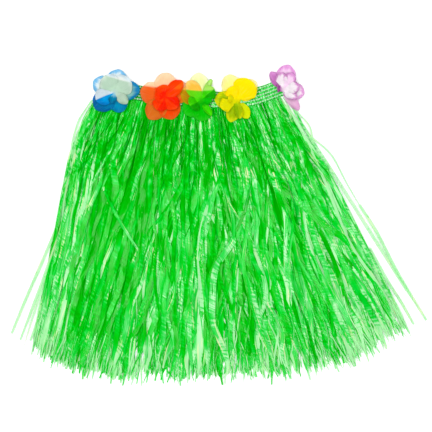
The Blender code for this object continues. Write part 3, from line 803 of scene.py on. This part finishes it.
def strip_guide(layer, along, chance, clumps, settings, split=False):
    """Line of one strip of a layer from the waistband to its torn end, or of a sliver split off its end."""
    nearest = min(clumps, key=lambda centre: abs(centre - along))
    drift = chance.gauss(0.0, settings.drift) * (2.8 if chance.random() < settings.crossing else 1.0)
    sways = [
        (chance.uniform(0.003, 0.017), chance.uniform(0.7, 2.4), chance.random()),
        (chance.uniform(0.001, 0.0045), chance.uniform(2.5, 6.0), chance.random()),
    ]
    tip = chance.uniform(0.0, 1.5)
    pull = chance.uniform(0.2, 0.7)
    reach = USUAL_REACH + chance.gauss(0.0, 0.019)
    reach += 0.008 * math.sin(along * 61.0) + 0.006 * math.sin(along * 143.0)
    if not split and chance.random() < 0.25:
        reach -= chance.uniform(0.02, 0.3)
    reach = min(reach, MOST_REACH)
    start = chance.uniform(0.7, 0.9) if split else 0.0
    landing = strand_point(min(max(along + drift + pull * (nearest - along), 0.0), 1.0), 1.0)
    if NOTCH_FROM < landing.x < NOTCH_TO:
        reach = min(reach, NOTCH_REACH)
    half = 0.5 * settings.film_width * (chance.uniform(0.14, 0.3) if split else chance.choice(STRIP_WIDTHS))
    edge = min(along, 1.0 - along)
    flares = layer.left_flares if along < 0.5 else layer.right_flares
    step = int(edge / settings.flare_pitch)
    flare = flares[step] * chance.uniform(0.75, 1.0) if step < len(flares) and not split else 0.0
    level = layer.level + chance.uniform(-0.3, 0.3)
    curl = layer.curl * chance.uniform(-0.6, 1.0)
    wave = (chance.uniform(0.2, 0.55), chance.uniform(1.5, 4.5), chance.random())
    tilt = math.radians(chance.gauss(0.0, settings.tilt))
    turns = [
        (math.radians(chance.uniform(4.0, 24.0)), chance.uniform(0.5, 1.6), chance.random()),
        (math.radians(chance.uniform(3.0, 13.0)), chance.uniform(2.0, 6.0), chance.random()),
    ]
    outer = max(0.0, 1.0 - edge / CLEAR_SIDE)
    flank = max(0.0, 1.0 - edge / (LEFT_FLANK if along < 0.5 else RIGHT_FLANK))
    free = flare >= FREE_FLARE
    clear_body = chance.uniform(0.4, 0.6) if free else 0.4 * outer * outer * chance.uniform(0.3, 1.0)
    if split:
        clear_body = chance.uniform(0.05, 0.3)
    rows = []
    first = below_band(along, ROOT_GAP)
    stations = SPLIT_STATIONS if split else STRIP_STATIONS
    for station in range(stations):
        share = station / (stations - 1)
        down = start + share * (reach - start)
        wander = drift * smooth(down / 0.7) + pull * (nearest - along) * smooth(down)
        wander += smooth(down / 0.12) * waves_at(sways, down)
        moved = min(max(along + wander, 0.0), 1.0)
        plan = strand_point(moved, down, flare) if station or split else first
        tapered = 1.0 - settings.taper * smooth((share - 0.9) / 0.1)
        width = half * (0.3 + 0.7 * smooth(down / 0.1)) * tapered * (1.0 - FLANK_THINNING * flank)
        turned = 1.0 + 0.9 * (1.0 - smooth(down / 0.45)) - 0.6 * smooth((down - 0.75) / 0.25)
        twist = (tilt + waves_at(turns, down)) * turned
        pitch, room = between(PILE, min(down, 1.0))
        lift = level + waves_at([wave], down) * smooth(down / 0.25)
        height = PILE_LOWEST + room + lift * pitch + curl * smooth(down / CURL_FULL_AT)
        height = max(height, width * (abs(math.sin(twist)) + 0.2) + settings.film_crumple)
        thinned = settings.tip_clear * (0.3 + tip) * smooth((share - TORN_FROM) / (1.0 - TORN_FROM))
        clear = min(MOST_CLEAR, clear_body * smooth(down / 0.3) + thinned)
        torn = tip * smooth((down - TORN_FROM) / (1.0 - TORN_FROM))
        rows.append(GuidePoint(placed(plan, height), width, twist, clear, down, torn))
    # The level term paints lower layers darker and the top layer lighter: painted shade in the pile
    tone = 0.12 + 0.05 * (level - 2.0) + FLANK_PALENESS * flank + chance.gauss(0.0, settings.tone_scatter)
    pale = chance.random() < (0.6 if split else settings.pale_share)
    tone += 0.5 if pale else 0.0
    # The flank term and the free tone paint side strips pale, as light from the floor through the thin film
    return Guide(rows, max(tone, FREE_TONE) if free else tone)


def stray_guide(stray, chance):
    """Line of one loose strip by the points of its plan."""
    rows = []
    phase = chance.random()
    for station in range(STRIP_STATIONS):
        share = station / (STRIP_STATIONS - 1)
        plan = Vector(curve_through(stray.plan, share))
        place = placed(plan, stray.height * (0.75 + 0.25 * math.sin(math.pi * share)))
        width = stray.half_width * (0.55 + 0.45 * math.sin(math.pi * min(1.0, share * 0.9 + 0.1)))
        twist = math.radians(24.0) * math.sin(math.tau * (share * 1.3 + phase))
        rows.append(GuidePoint(place, width, twist, stray.clear, share, 0.3 * share))
    return Guide(rows, stray.tone)


def guide_object(name, guides, chance):
    """One mesh of all the guide lines, with what the film needs to know at each point."""
    points, edges = [], []
    kept = GuidePoint._fields[1:]
    values = {key: [] for key in (*kept, "tone", "run", "strip")}
    for guide in guides:
        start = len(points)
        count = len(guide.rows)
        places, *columns = zip(*guide.rows)
        points += places
        edges += [(start + index, start + index + 1) for index in range(count - 1)]
        for key, column in zip(kept, columns):
            values[key] += column
        run = 0.0
        for index, place in enumerate(places):
            run += (place - places[index - 1]).length if index else 0.0
            values["run"].append(run)
        values["tone"] += [guide.tone] * count
        values["strip"] += [chance.random()] * count
    mesh = bpy.data.meshes.new(name)
    mesh.from_pydata(points, edges, [])
    for key, numbers in values.items():
        store(mesh, key, numbers)
    return link_object(name, mesh)


def grass_layer(layer, settings, group, material):
    """One layer of the grass as film strips, grown on the places of its solid's strands."""
    chance = random.Random(layer.seed + settings.seed)
    count = getattr(settings, layer.strips)
    clumps = sorted(chance.random() for _ in range(settings.clumps))
    guides = []
    for number in range(count):
        along = (number + 0.5 + chance.uniform(-0.45, 0.45)) / count
        if min(along, 1.0 - along) < settings.thin_side and chance.random() < settings.thin_share:
            continue
        guides.append(strip_guide(layer, along, chance, clumps, settings))
    for _ in range(settings.slivers):
        guides.append(strip_guide(layer, chance.random(), chance, clumps, settings, split=True))
    if layer is LAYERS[-1]:
        guides += [stray_guide(stray, chance) for stray in STRAYS]
    guide = guide_object(layer.name + "_guides", guides, chance)
    values = {
        "Fold": settings.film_fold,
        "Thickness": settings.film_thickness / settings.film_width * 2.0,
        "Crumple": settings.film_crumple,
        "Crumple Density": settings.crumple_density,
        "Seed": float(layer.seed),
        "Material": material,
    }
    return dress(grown(layer.name + "_film", guide, group, values), "grass", layer.name)


def gather_waves(count, chance):
    """Crest places round the tube, with their uneven widths, as shares of the way round."""
    widths = [chance.uniform(0.65, 1.35) for _ in range(count)]
    total = sum(widths)
    edges = [0.0]
    for width in widths:
        edges.append(edges[-1] + width / total)
    heights = [chance.uniform(0.45, 1.0) for _ in range(count)]
    return edges, heights


def row_dip(up):
    """How far the elastic leaves the gathers proud: 0 on a row of thread, 1 between two rows."""
    return abs(math.sin(math.pi * (up * ELASTIC_ROWS - 0.5))) ** 0.7 if up else 0.6


def band_surface(place, up, proud):
    """Outer and inner point of the tube. Place runs from the left fold over the front and back."""
    front = place <= 1.0
    along = place if front else 2.0 - place
    plan = band_point(along, up)
    length = (band_point(1.0, 0.5) - band_point(0.0, 0.5)).length
    distance = min(along, 1.0 - along) * length
    reached = min(distance / FOLD_ROUNDING, 1.0)
    roundness = math.sqrt(max(0.0, 1.0 - (1.0 - reached) ** 2))
    if front:
        outer = FOLD_MIDDLE + (FRONT_TOP - FRONT_RISE + FRONT_RISE * proud - FOLD_MIDDLE) * roundness
        inner = FOLD_MIDDLE + (FRONT_INSIDE + INSIDE_RISE * (1.0 - proud) - FOLD_MIDDLE) * roundness
    else:
        outer = FOLD_MIDDLE - (FOLD_MIDDLE - BACK_RISE * (1.0 - proud)) * roundness
        inner = FOLD_MIDDLE + (BACK_INSIDE - INSIDE_RISE * (1.0 - proud) - FOLD_MIDDLE) * roundness
    inward = (1.0 - roundness) * FOLD_INSET * (1.0 if along < 0.5 else -1.0)
    return placed(plan, outer), placed(plan + Vector((inward, 0.0)), inner)


def waistband_mesh(settings):
    """Closed shell of the gathered tube, with the way round and up kept for its creases."""
    chance = random.Random(settings.seed + 5)
    crests, swells = gather_waves(2 * settings.gathers, chance)
    places = []
    for start, end, swell in zip(crests, crests[1:], swells):
        for step in range(GATHER_COLUMNS):
            share = step / GATHER_COLUMNS
            places.append((start + (end - start) * share, swell * math.sin(math.pi * share)))
    for fold in (0.0, 1.0, 2.0):
        for step in range(1, FOLD_COLUMNS):
            offset = 0.010 * (step / FOLD_COLUMNS) ** 2
            beside = (0.5 * (fold + offset), 0.5 * (fold - offset))
            places += [(place, 0.3) for place in beside if 0 < place < 1]
    places.append((0.5, 0.0))
    places = sorted(set(places))
    rows = 4 * ELASTIC_ROWS
    points, around, ups = [], [], []
    for place, swell in places:
        ring = []
        for row in range(rows + 1):
            up = row / rows
            proud = swell * (0.25 + 0.75 * row_dip(up))
            ring.append(band_surface(2.0 * place, up, proud))
        points += [outer for outer, _ in ring] + [inner for _, inner in reversed(ring)]
        around += [place * 2.0 * PANEL_WIDTH] * (2 * rows + 2)
        climbed = [row / rows * BAND_HEIGHT for row in range(rows + 1)]
        ups += climbed + climbed[::-1]
    depth = 2 * rows + 2
    count = len(places)
    faces = []
    for column in range(count):
        here, there = column * depth, (column + 1) % count * depth
        for row in range(depth):
            following = (row + 1) % depth
            faces.append((here + row, there + row, there + following, here + following))
    mesh = bpy.data.meshes.new("waistband")
    mesh.from_pydata(points, [], faces)
    store(mesh, "around", around)
    store(mesh, "up", ups)
    mesh.shade_smooth()
    mesh.update()
    return mesh


def chain_group():
    """Sets a chain stitch at each step of a guide line."""
    group, tree, given = new_group(
        "chain_stitches",
        {"Pitch": "Float", "Length": "Float", "Width": "Float", "Thread": "Float", "Material": "Material"},
    )
    lines = tree.add("GeometryNodeMeshToCurve", None, {"Mesh": given["Geometry"]})
    lines = tree.add("GeometryNodeSetCurveNormal", {"mode": "Z_UP"}, {"Curve": lines})
    spots = tree.add(
        "GeometryNodeCurveToPoints", {"mode": "LENGTH"}, {"Curve": lines, "Length": given["Pitch"]}
    )
    loop = tree.add("GeometryNodeCurvePrimitiveCircle", None, {"Resolution": 8, "Radius": 0.5})
    size = tree.add("ShaderNodeCombineXYZ", None, {0: given["Width"], 1: given["Length"], 2: 1.0})
    loop = tree.add("GeometryNodeTransform", None, {"Geometry": loop, "Scale": size})
    upright = (math.radians(90.0), 0.0, 0.0)
    loop = tree.add("GeometryNodeTransform", None, {"Geometry": loop, "Rotation": upright})
    radius = given["Thread"] * 0.5
    ply = tree.add("GeometryNodeCurvePrimitiveCircle", None, {"Resolution": 5, "Radius": radius})
    link = tree.add("GeometryNodeCurveToMesh", None, {"Curve": loop, "Profile Curve": ply})
    links = tree.add(
        "GeometryNodeInstanceOnPoints", None,
        {"Points": spots, "Instance": link, "Rotation": spots.beside("Rotation")},
    )
    end_group(tree, links, given["Material"])
    return group


def elastic_guides():
    """Lines of the elastic rows, all round the tube, on the troughs of its gathers."""
    points, edges = [], []
    for row in range(ELASTIC_ROWS):
        up = (row + 0.5) / ELASTIC_ROWS
        start = len(points)
        for step in range(ELASTIC_STEPS):
            place = 2.0 * step / ELASTIC_STEPS
            outer, _ = band_surface(place, up, 0.12)
            points.append(outer + Vector((0.0, 0.0, THREAD_PROUD if place <= 1.0 else 0.0)))
            edges.append((start + step, start + (step + 1) % ELASTIC_STEPS))
    mesh = bpy.data.meshes.new("elastic_guides")
    mesh.from_pydata(points, edges, [])
    return link_object("elastic_guides", mesh)


def root_halves(petals):
    """Half of the angle that each petal takes at the hub."""
    halves = []
    for petal in petals:
        gaps = [
            abs((other.turn - petal.turn + 180.0) % 360.0 - 180.0)
            for other in petals if other is not petal
        ]
        halves.append(math.radians(min(WIDEST_ROOT_DEGREES, 0.5 * (min(gaps) - HUB_GAP_DEGREES))))
    return halves


def blade(share):
    """Width of a petal as a share of its widest."""
    bulge = math.sin(math.pi * min(1.0, BLADE_REACH * share)) ** BLADE_POWER
    return BLADE_ROOT + (1.0 - BLADE_ROOT) * bulge


def petal_point(petal, half_turn, base, share, across, settings):
    """Point of a petal's middle surface: share from the hub to the tip, across from -1 to 1."""
    turn = math.radians(petal.turn)
    if share == 0.0:
        angle = turn + half_turn * across
        return Vector((HUB_RADIUS * math.cos(angle), HUB_RADIUS * math.sin(angle), base))
    outward = Vector((math.cos(turn), math.sin(turn), 0.0))
    sideways = Vector((-outward.y, outward.x, 0.0))
    rounding = TIP_ROUNDING * across**2 * share
    distance = HUB_RADIUS + (petal.length - HUB_RADIUS) * (share - rounding)
    half = min(0.5 * petal.width * blade(share), PETAL_LAP * math.tan(half_turn) * distance)
    half *= 1.0 + settings.petal_wave * math.sin(petal.turn * 0.9 + share * 9.0) * share
    distance += settings.petal_wave * 0.35 * petal.length * math.sin(petal.turn + across * 6.0) * share**3
    rise = petal.lift * share**LIFT_POWER + petal.cup * across**2 * share
    rise += settings.petal_step * (petal.turn % 3) * smooth(share / 0.4)
    rise += abs(petal.fold) * (1.0 - abs(across)) * smooth(share / 0.5)
    ripple = math.sin(petal.turn + across * 5.2) * 0.6
    ripple += math.sin(petal.turn * 2.3 + share * 7.0 - across * 3.1) * 0.4
    rise += settings.petal_ripple * ripple * share**2 * (0.35 + 0.65 * across**2)
    return outward * distance + sideways * (across * half) + Vector((0.0, 0.0, base + rise))


def bareness(plan):
    """How far a point of the plan lies outside the top and the sides of the waistband."""
    columns = [curve_through(WAISTBAND, index / 24.0) for index in range(25)]
    top = columns[-1][1]
    for (left_x, left_y, _, _), (right_x, right_y, _, _) in zip(columns, columns[1:]):
        if left_x <= plan.x <= right_x:
            top = left_y + (right_y - left_y) * (plan.x - left_x) / (right_x - left_x)
            break
    if plan.x < columns[0][0]:
        top = columns[0][1]
    sides = []
    for column, sign in ((columns[0], -1.0), (columns[-1], 1.0)):
        fold = Vector((column[0] - column[2], column[1] - column[3])).normalized()
        from_low = plan - Vector((column[2], column[3]))
        sides.append(sign * (from_low.x * fold.y - from_low.y * fold.x))
    return max(plan.y - top, *sides)


def dyed(petal, share, across, bare):
    """Colour of a petal at a point, from its dye and from how far it stands out over the pale ground,
    painted paler there.
    """
    edge = DYES[petal.dye].edge
    dye = [Vector(linear(*colour)) for colour in DYES[petal.dye][:-1]]
    soaked = share + 0.3 * abs(across) ** 3 * smooth(share / 0.4)
    soaked += 0.05 * math.sin(petal.turn * 1.7 + across * 9.0) + 0.03 * math.sin(petal.turn + across * 23.0)
    inner = 1.0 if petal.fold else smooth((soaked - DYE_STOPS[0]) / (DYE_STOPS[1] - DYE_STOPS[0]))
    outer = smooth((soaked - edge) / (DYE_RIM - edge))
    backed = dye[0].lerp(dye[1], inner).lerp(dye[2], outer)
    # Backlit colours: painted light from the floor through the thin fabric where the petal stands out
    backlit = dye[3].lerp(dye[4], outer)
    # The fold side takes the root's colour: partly the doubled cloth, partly painted shade of the fold
    doubled_and_shaded = FOLD_SHARE * smooth(-across * 9.0 * math.copysign(1.0, petal.fold)) if petal.fold else 0.0
    return backed.lerp(backlit, bare).lerp(dye[0], doubled_and_shaded)


def flower_sheet(name, flower, base, petals, material, settings):
    """One cut of a flower: five petals on a hub, as a thin shell of its solid's form."""
    shape = bmesh.new()
    centre = Vector((flower.x + SHIFT.x, flower.y + SHIFT.y, 0.0))
    halves = root_halves(petals)
    rows = []
    facts = []
    rim = []
    for petal, half in sorted(zip(petals, halves), key=lambda pair: pair[0].turn % 360.0):
        grid = []
        for ring in range(PETAL_RINGS + 1):
            share = ring / PETAL_RINGS
            row = []
            for column in range(PETAL_COLUMNS + 1):
                across = 2.0 * column / PETAL_COLUMNS - 1.0
                place = petal_point(petal, half, base, share, across, settings)
                bare = smooth((bareness(place.xy + Vector((flower.x, flower.y))) + 0.0006) / 0.002)
                row.append(shape.verts.new(centre + place))
                clear = settings.petal_clear * (1.0 if base == UNDER_BASE else 0.5)
                cover = 1.0 - clear * smooth(share / 0.3)
                facts.append((dyed(petal, share, across, bare), across, share, petal.turn / 360.0, cover))
            grid.append(row)
        rim += grid[0]
        rows.append(grid)
    hub = shape.verts.new(centre + Vector((0.0, 0.0, base)))
    hub_colour = sum((Vector(linear(*DYES[petal.dye].root)) for petal in petals), Vector())
    hub_colour *= 1.0 / len(petals)
    facts.append((hub_colour, 0.0, 0.0, 0.0, 1.0))
    for grid in rows:
        for inner, outer in zip(grid, grid[1:]):
            for column in range(PETAL_COLUMNS):
                shape.faces.new((inner[column], outer[column], outer[column + 1], inner[column + 1]))
    for index, vertex in enumerate(rim):
        shape.faces.new((hub, vertex, rim[(index + 1) % len(rim)]))
    mesh = bpy.data.meshes.new(name)
    shape.to_mesh(mesh)
    shape.free()
    dye = mesh.attributes.new("dye", "FLOAT_COLOR", "POINT")
    for index, fact in enumerate(facts):
        dye.data[index].color = (*fact[0], 1.0)
    store(mesh, "side", [fact[1] for fact in facts])
    store(mesh, "out", [fact[2] for fact in facts])
    store(mesh, "turn", [fact[3] for fact in facts])
    store(mesh, "cover", [fact[4] for fact in facts])
    mesh.shade_smooth()
    mesh.materials.append(material)
    area = sum(face.area for face in mesh.polygons)
    sheet = link_object(name, mesh)
    shell = sheet.modifiers.new("Cloth", "SOLIDIFY")
    shell.thickness = settings.petal_thickness
    shell.offset = 0.0
    solid = evaluated_mesh(name, sheet)
    sheet.modifiers.clear()
    sheet.data = solid
    bpy.data.meshes.remove(mesh)
    return sheet, area


def flat_sides(petals):
    """Width and length of the cloth that a flower's cut is taken from."""
    sides = []
    for axis in (math.cos, math.sin):
        ends = []
        for petal in petals:
            tip = (petal.length + 0.4 * petal.lift) * axis(math.radians(petal.turn))
            corner = 0.35 * petal.width * math.sqrt(1.0 - axis(math.radians(petal.turn)) ** 2)
            ends += [tip + corner, tip - corner]
        sides.append(max(ends) - min(ends))
    return tuple(sides)


def number_setting(name, description, default):
    """Setting that has no unit."""
    return FloatProperty(name=name, description=description, default=default)


def length_setting(name, description, default):
    """Setting in metres."""
    return FloatProperty(name=name, description=description, default=default, unit="LENGTH")


def count_setting(name, description, default, least):
    """Setting that is a whole number."""
    return IntProperty(name=name, description=description, default=default, min=least)


def colour_setting(name, description, default):
    """Setting that is a colour."""
    return FloatVectorProperty(name=name, description=description, subtype="COLOR", default=default)


class GrassSettings(PropertyGroup):
    outer_strips: count_setting("Top strips", "Film strips in the top layer", 215, 20)
    front_strips: count_setting("Front strips", "Film strips in the layer below", 230, 20)
    back_strips: count_setting("Back strips", "Film strips in each back layer", 190, 20)
    slivers: count_setting("Slivers", "Slivers split off the ends of each layer", 150, 0)
    clumps: count_setting("Clumps", "Locks that the strips of a layer gather to", 40, 1)
    seed: IntProperty(name="Seed", description="Seed of the strips' scatter", default=3)
    film_width: length_setting("Film width", "Usual width of a strip", 0.0062)
    film_thickness: length_setting("Film thickness", "Thickness of the film", 0.0002)
    film_fold: number_setting(
        "Fold", "Height of the lengthwise fold, as a share of half the width", 0.16
    )
    film_crumple: length_setting("Crumple", "How far the film is crumpled", 0.0011)
    crumple_density: number_setting("Crumple density", "Crumples per metre of film", 75.0)
    crinkle_height: length_setting("Crinkle height", "Height of the finest crinkles", 0.0001)
    crinkle_share: number_setting("Crinkle share", "Cross crinkles against lengthwise creases", 1.0)
    flare_pitch: number_setting(
        "Flare pitch", "Share of the waistband between two flared side strips", 0.005
    )
    thin_side: number_setting(
        "Thin side", "Share of the waistband at each side where the grass is thin", 0.03
    )
    thin_share: number_setting("Thinness", "Share of the strips left out there", 0.72)
    drift: number_setting("Drift", "Sideways drift of a strip, as a share of the skirt's width", 0.048)
    crossing: number_setting("Crossing", "Share of the strips that cross the rest", 0.3)
    taper: number_setting("Taper", "How much a strip narrows at its torn end", 0.75)
    tilt: number_setting("Tilt", "Usual tilt of a strip in degrees", 15.0)
    tip_clear: number_setting("Tip clearness", "How clear the torn ends are", 0.18)
    tip_tone: number_setting("Tip tone", "How much paler the torn ends are", 0.5)
    pale_share: number_setting("Pale strips", "Share of the strips that lie pale", 0.36)
    tone_scatter: number_setting("Tone scatter", "Difference in tone from strip to strip", 0.17)
    # Contrast of the painted highlights and painted shade along a strip
    patch_contrast: number_setting("Patches", "Contrast of the patches along a strip", 1.3)
    lock_contrast: number_setting("Locks", "Contrast of the locks of strips", 0.95)
    scrap_contrast: number_setting("Scraps", "Contrast of the short scraps below the waistband", 2.0)
    streak_contrast: number_setting("Streaks", "Contrast of the lengthwise streaks", 0.75)
    # Contrast of the glints and shade painted on the cross crinkles
    crinkle_contrast: number_setting("Crinkles", "Contrast of the cross crinkles", 1.6)
    film_roughness: number_setting("Roughness", "Least roughness of the film", 0.1)
    film_gloss: number_setting("Gloss", "Strength of the film's reflections", 0.1)
    translucence: number_setting("Translucence", "Share of the light that passes through the film", 0.3)
    # Deep, shade, light and pale are painted shade and painted highlights of one green film
    deep_colour: colour_setting("Deep", "Film deep in the pile", linear(0, 182, 0))
    shade_colour: colour_setting("Shade", "Film turned from the light", linear(0, 204, 12))
    film_colour: colour_setting("Film", "Film that lies level", linear(0, 217, 54))
    light_colour: colour_setting("Light", "Film turned to the light", linear(78, 222, 104))
    pale_colour: colour_setting("Pale", "Single pale film", linear(178, 241, 178))
    # Cream: a painted highlight in slivers on the brightest film
    cream_colour: colour_setting("Cream", "Bleached slivers of film", linear(238, 236, 180))


class WaistbandSettings(PropertyGroup):
    gathers: count_setting("Gathers", "Gathers across one panel", 76, 10)
    seed: IntProperty(name="Seed", description="Seed of the gathers' scatter", default=4)
    cut_width: length_setting("Cut width", "Width of the heading before it is gathered", 0.74)
    cut_height: length_setting("Cut height", "Height of the heading", 0.0225)
    # Painted shade in the troughs, painted highlights and glints on the crests
    band_deep_colour: colour_setting("Deep", "Film in the troughs", linear(0, 120, 14))
    band_colour: colour_setting("Band", "Film of the heading", linear(0, 180, 36))
    band_light_colour: colour_setting("Light", "Crests of the gathers", linear(84, 204, 104))
    band_glint_colour: colour_setting("Glint", "Glints on the crests", linear(190, 234, 186))


class ElasticSettings(PropertyGroup):
    pitch: length_setting("Pitch", "From one stitch to the next", 0.0036)
    stitch_length: length_setting("Length", "Length of a stitch", 0.0024)
    stitch_width: length_setting("Width", "Width of a stitch", 0.0013)
    thread: length_setting("Thread", "Thickness of the thread", 0.0005)
    thread_colour: colour_setting("Thread colour", "White thread", linear(238, 246, 238))


class FlowerSettings(PropertyGroup):
    petal_thickness: length_setting("Thickness", "Thickness of the fabric", 0.0004)
    petal_ripple: length_setting("Ripple", "Height of the ripples at the rim", 0.0009)
    petal_wave: number_setting("Wave", "Unevenness of the cut rim", 0.018)
    petal_step: length_setting("Lap", "Step in height that lets petals lie over one another", 0.0006)
    petal_clear: number_setting("Clearness", "How far the under cut lets through what lies below", 0.2)
    weave_density: number_setting("Weave", "Turns of the weave, in radians per metre", 9000.0)
    translucence: number_setting(
        "Translucence", "Share of the light that passes through the fabric", 0.28
    )


class StageSettings(PropertyGroup):
    frame_width: length_setting("Frame width", "Width of the picture at the skirt", 0.6005)
    centre_x: length_setting("Centre X", "Middle of the picture in the plan", -0.00417)
    centre_y: length_setting("Centre Y", "Middle of the picture in the plan", 0.0146)
    lens: number_setting("Lens", "Focal length in millimetres", 85.0)
    floor_size: length_setting("Floor", "Side of the floor", 8.0)
    floor_colour: colour_setting("Floor colour", "Pale floor", (0.92, 0.92, 0.92))
    sky: number_setting("Sky", "Strength of the light all round", 0.12)
    key: FloatProperty(
        name="Key", description="Power of the soft light overhead", default=45.0, unit="POWER"
    )
    key_size: length_setting("Key size", "Width of the soft light", 1.2)
    key_height: length_setting("Key height", "Height of the soft light", 1.7)


class SKIRT_OT_grass(Operator):
    """Grow the four layers of film strips"""

    bl_idname = "skirt.grass"
    bl_label = "Grass"

    def execute(self, context):
        settings = context.scene.skirt_grass
        group = film_group()
        material = film_material(settings)
        for layer in LAYERS:
            grass_layer(layer, settings, group, material)
        return {"FINISHED"}


class SKIRT_OT_elastic(Operator):
    """Stitch the rows of elastic thread round the waistband"""

    bl_idname = "skirt.elastic"
    bl_label = "Elastic thread"

    def execute(self, context):
        settings = context.scene.skirt_elastic
        values = {
            "Pitch": settings.pitch,
            "Length": settings.stitch_length,
            "Width": settings.stitch_width,
            "Thread": settings.thread,
            "Material": thread_material(settings),
        }
        stitches = grown("elastic_thread", elastic_guides(), chain_group(), values)
        stitches.data.shade_smooth()
        dress(stitches, "waistband")
        return {"FINISHED"}


class SKIRT_OT_waistband(Operator):
    """Gather the waistband tube"""

    bl_idname = "skirt.waistband"
    bl_label = "Waistband"

    def execute(self, context):
        settings = context.scene.skirt_waistband
        mesh = waistband_mesh(settings)
        mesh.materials.append(band_material(settings))
        band = dress(link_object("waistband", mesh), "waistband", "waistband_front", "waistband_back")
        return {"FINISHED"}


class SKIRT_OT_flowers(Operator):
    """Make the five flowers, each of two cuts of thin fabric"""

    bl_idname = "skirt.flowers"
    bl_label = "Flowers"

    def execute(self, context):
        settings = context.scene.skirt_flowers
        for flower in FLOWERS:
            material = petal_material(flower.name + "_fabric", settings)
            for part, base, petals in (
                ("under", UNDER_BASE, flower.under), ("upper", UPPER_BASE, flower.upper)
            ):
                name = f"{flower.name}_{part}"
                sheet, area = flower_sheet(name + "_fabric", flower, base, petals, material, settings)
                dress(sheet, flower.name, name)
                flat_sides(petals)
        return {"FINISHED"}


class SKIRT_OT_stage(Operator):
    """Set the pale floor, the soft light and the camera straight above"""

    bl_idname = "skirt.stage"
    bl_label = "Stage"

    def execute(self, context):
        settings = context.scene.skirt_stage
        half = 0.5 * settings.floor_size
        mesh = bpy.data.meshes.new("stage_floor")
        corners = [(-half, -half, 0), (half, -half, 0), (half, half, 0), (-half, half, 0)]
        mesh.from_pydata(corners, [], [(0, 1, 2, 3)])
        mesh.materials.append(floor_material(settings))
        link_object("stage_floor", mesh)
        add_camera(settings)
        add_lights(settings)
        return {"FINISHED"}


def add_camera(settings):
    data = bpy.data.cameras.new("camera")
    data.lens = settings.lens
    camera = link_object("camera", data)
    distance = settings.frame_width * settings.lens / data.sensor_width
    camera.location = placed(Vector((settings.centre_x, settings.centre_y)), distance + SKIRT_FRONT)
    bpy.context.scene.camera = camera


def add_area(name, energy, size, location):
    data = bpy.data.lights.new(name, "AREA")
    data.energy = energy
    data.shape = "DISK"
    data.size = size
    light = link_object(name, data)
    light.location = location
    light.rotation_mode = "QUATERNION"
    light.rotation_quaternion = (-Vector(location)).to_track_quat("-Z", "Y")


def add_lights(settings):
    world = bpy.data.worlds.new("soft_sky")
    world.use_nodes = True
    tree = Tree(world.node_tree)
    sky = tree.add("ShaderNodeBackground", None, {"Color": (1.0, 1.0, 1.0, 1.0), "Strength": settings.sky})
    tree.add("ShaderNodeOutputWorld", None, {"Surface": sky})
    scene = bpy.context.scene
    scene.world = world
    add_area("key", settings.key, settings.key_size, (-0.08, 0.02, settings.key_height))
    scene.view_settings.view_transform = "Standard"
    scene.view_settings.look = "None"


class SKIRT_PT_panel(Panel):
    bl_label = "Hula Skirt"
    bl_space_type = "VIEW_3D"
    bl_region_type = "UI"
    bl_category = "Hula Skirt"

    def draw(self, context):
        for operator, settings in STEPS:
            box = self.layout.box()
            box.operator(operator.bl_idname)
            group = getattr(context.scene, settings)
            for name in group.bl_rna.properties.keys():
                if name not in ("name", "rna_type"):
                    box.prop(group, name)


# Operators in the order in which they run, each with the settings that it reads
STEPS = (
    (SKIRT_OT_grass, "skirt_grass"),
    (SKIRT_OT_elastic, "skirt_elastic"),
    (SKIRT_OT_waistband, "skirt_waistband"),
    (SKIRT_OT_flowers, "skirt_flowers"),
    (SKIRT_OT_stage, "skirt_stage"),
)
SETTINGS = {
    "skirt_grass": GrassSettings,
    "skirt_elastic": ElasticSettings,
    "skirt_waistband": WaistbandSettings,
    "skirt_flowers": FlowerSettings,
    "skirt_stage": StageSettings,
}


def register():
    for name, group in SETTINGS.items():
        bpy.utils.register_class(group)
        setattr(bpy.types.Scene, name, PointerProperty(type=group))
    for operator, _ in STEPS:
        bpy.utils.register_class(operator)
    bpy.utils.register_class(SKIRT_PT_panel)


def unregister():
    bpy.utils.unregister_class(SKIRT_PT_panel)
    for operator, _ in STEPS:
        bpy.utils.unregister_class(operator)
    for name, group in SETTINGS.items():
        delattr(bpy.types.Scene, name)
        bpy.utils.unregister_class(group)


def main():
    register()
    for operator, _ in STEPS:
        module, name = operator.bl_idname.split(".")
        getattr(getattr(bpy.ops, module), name)()


if __name__ == "__main__":
    main()
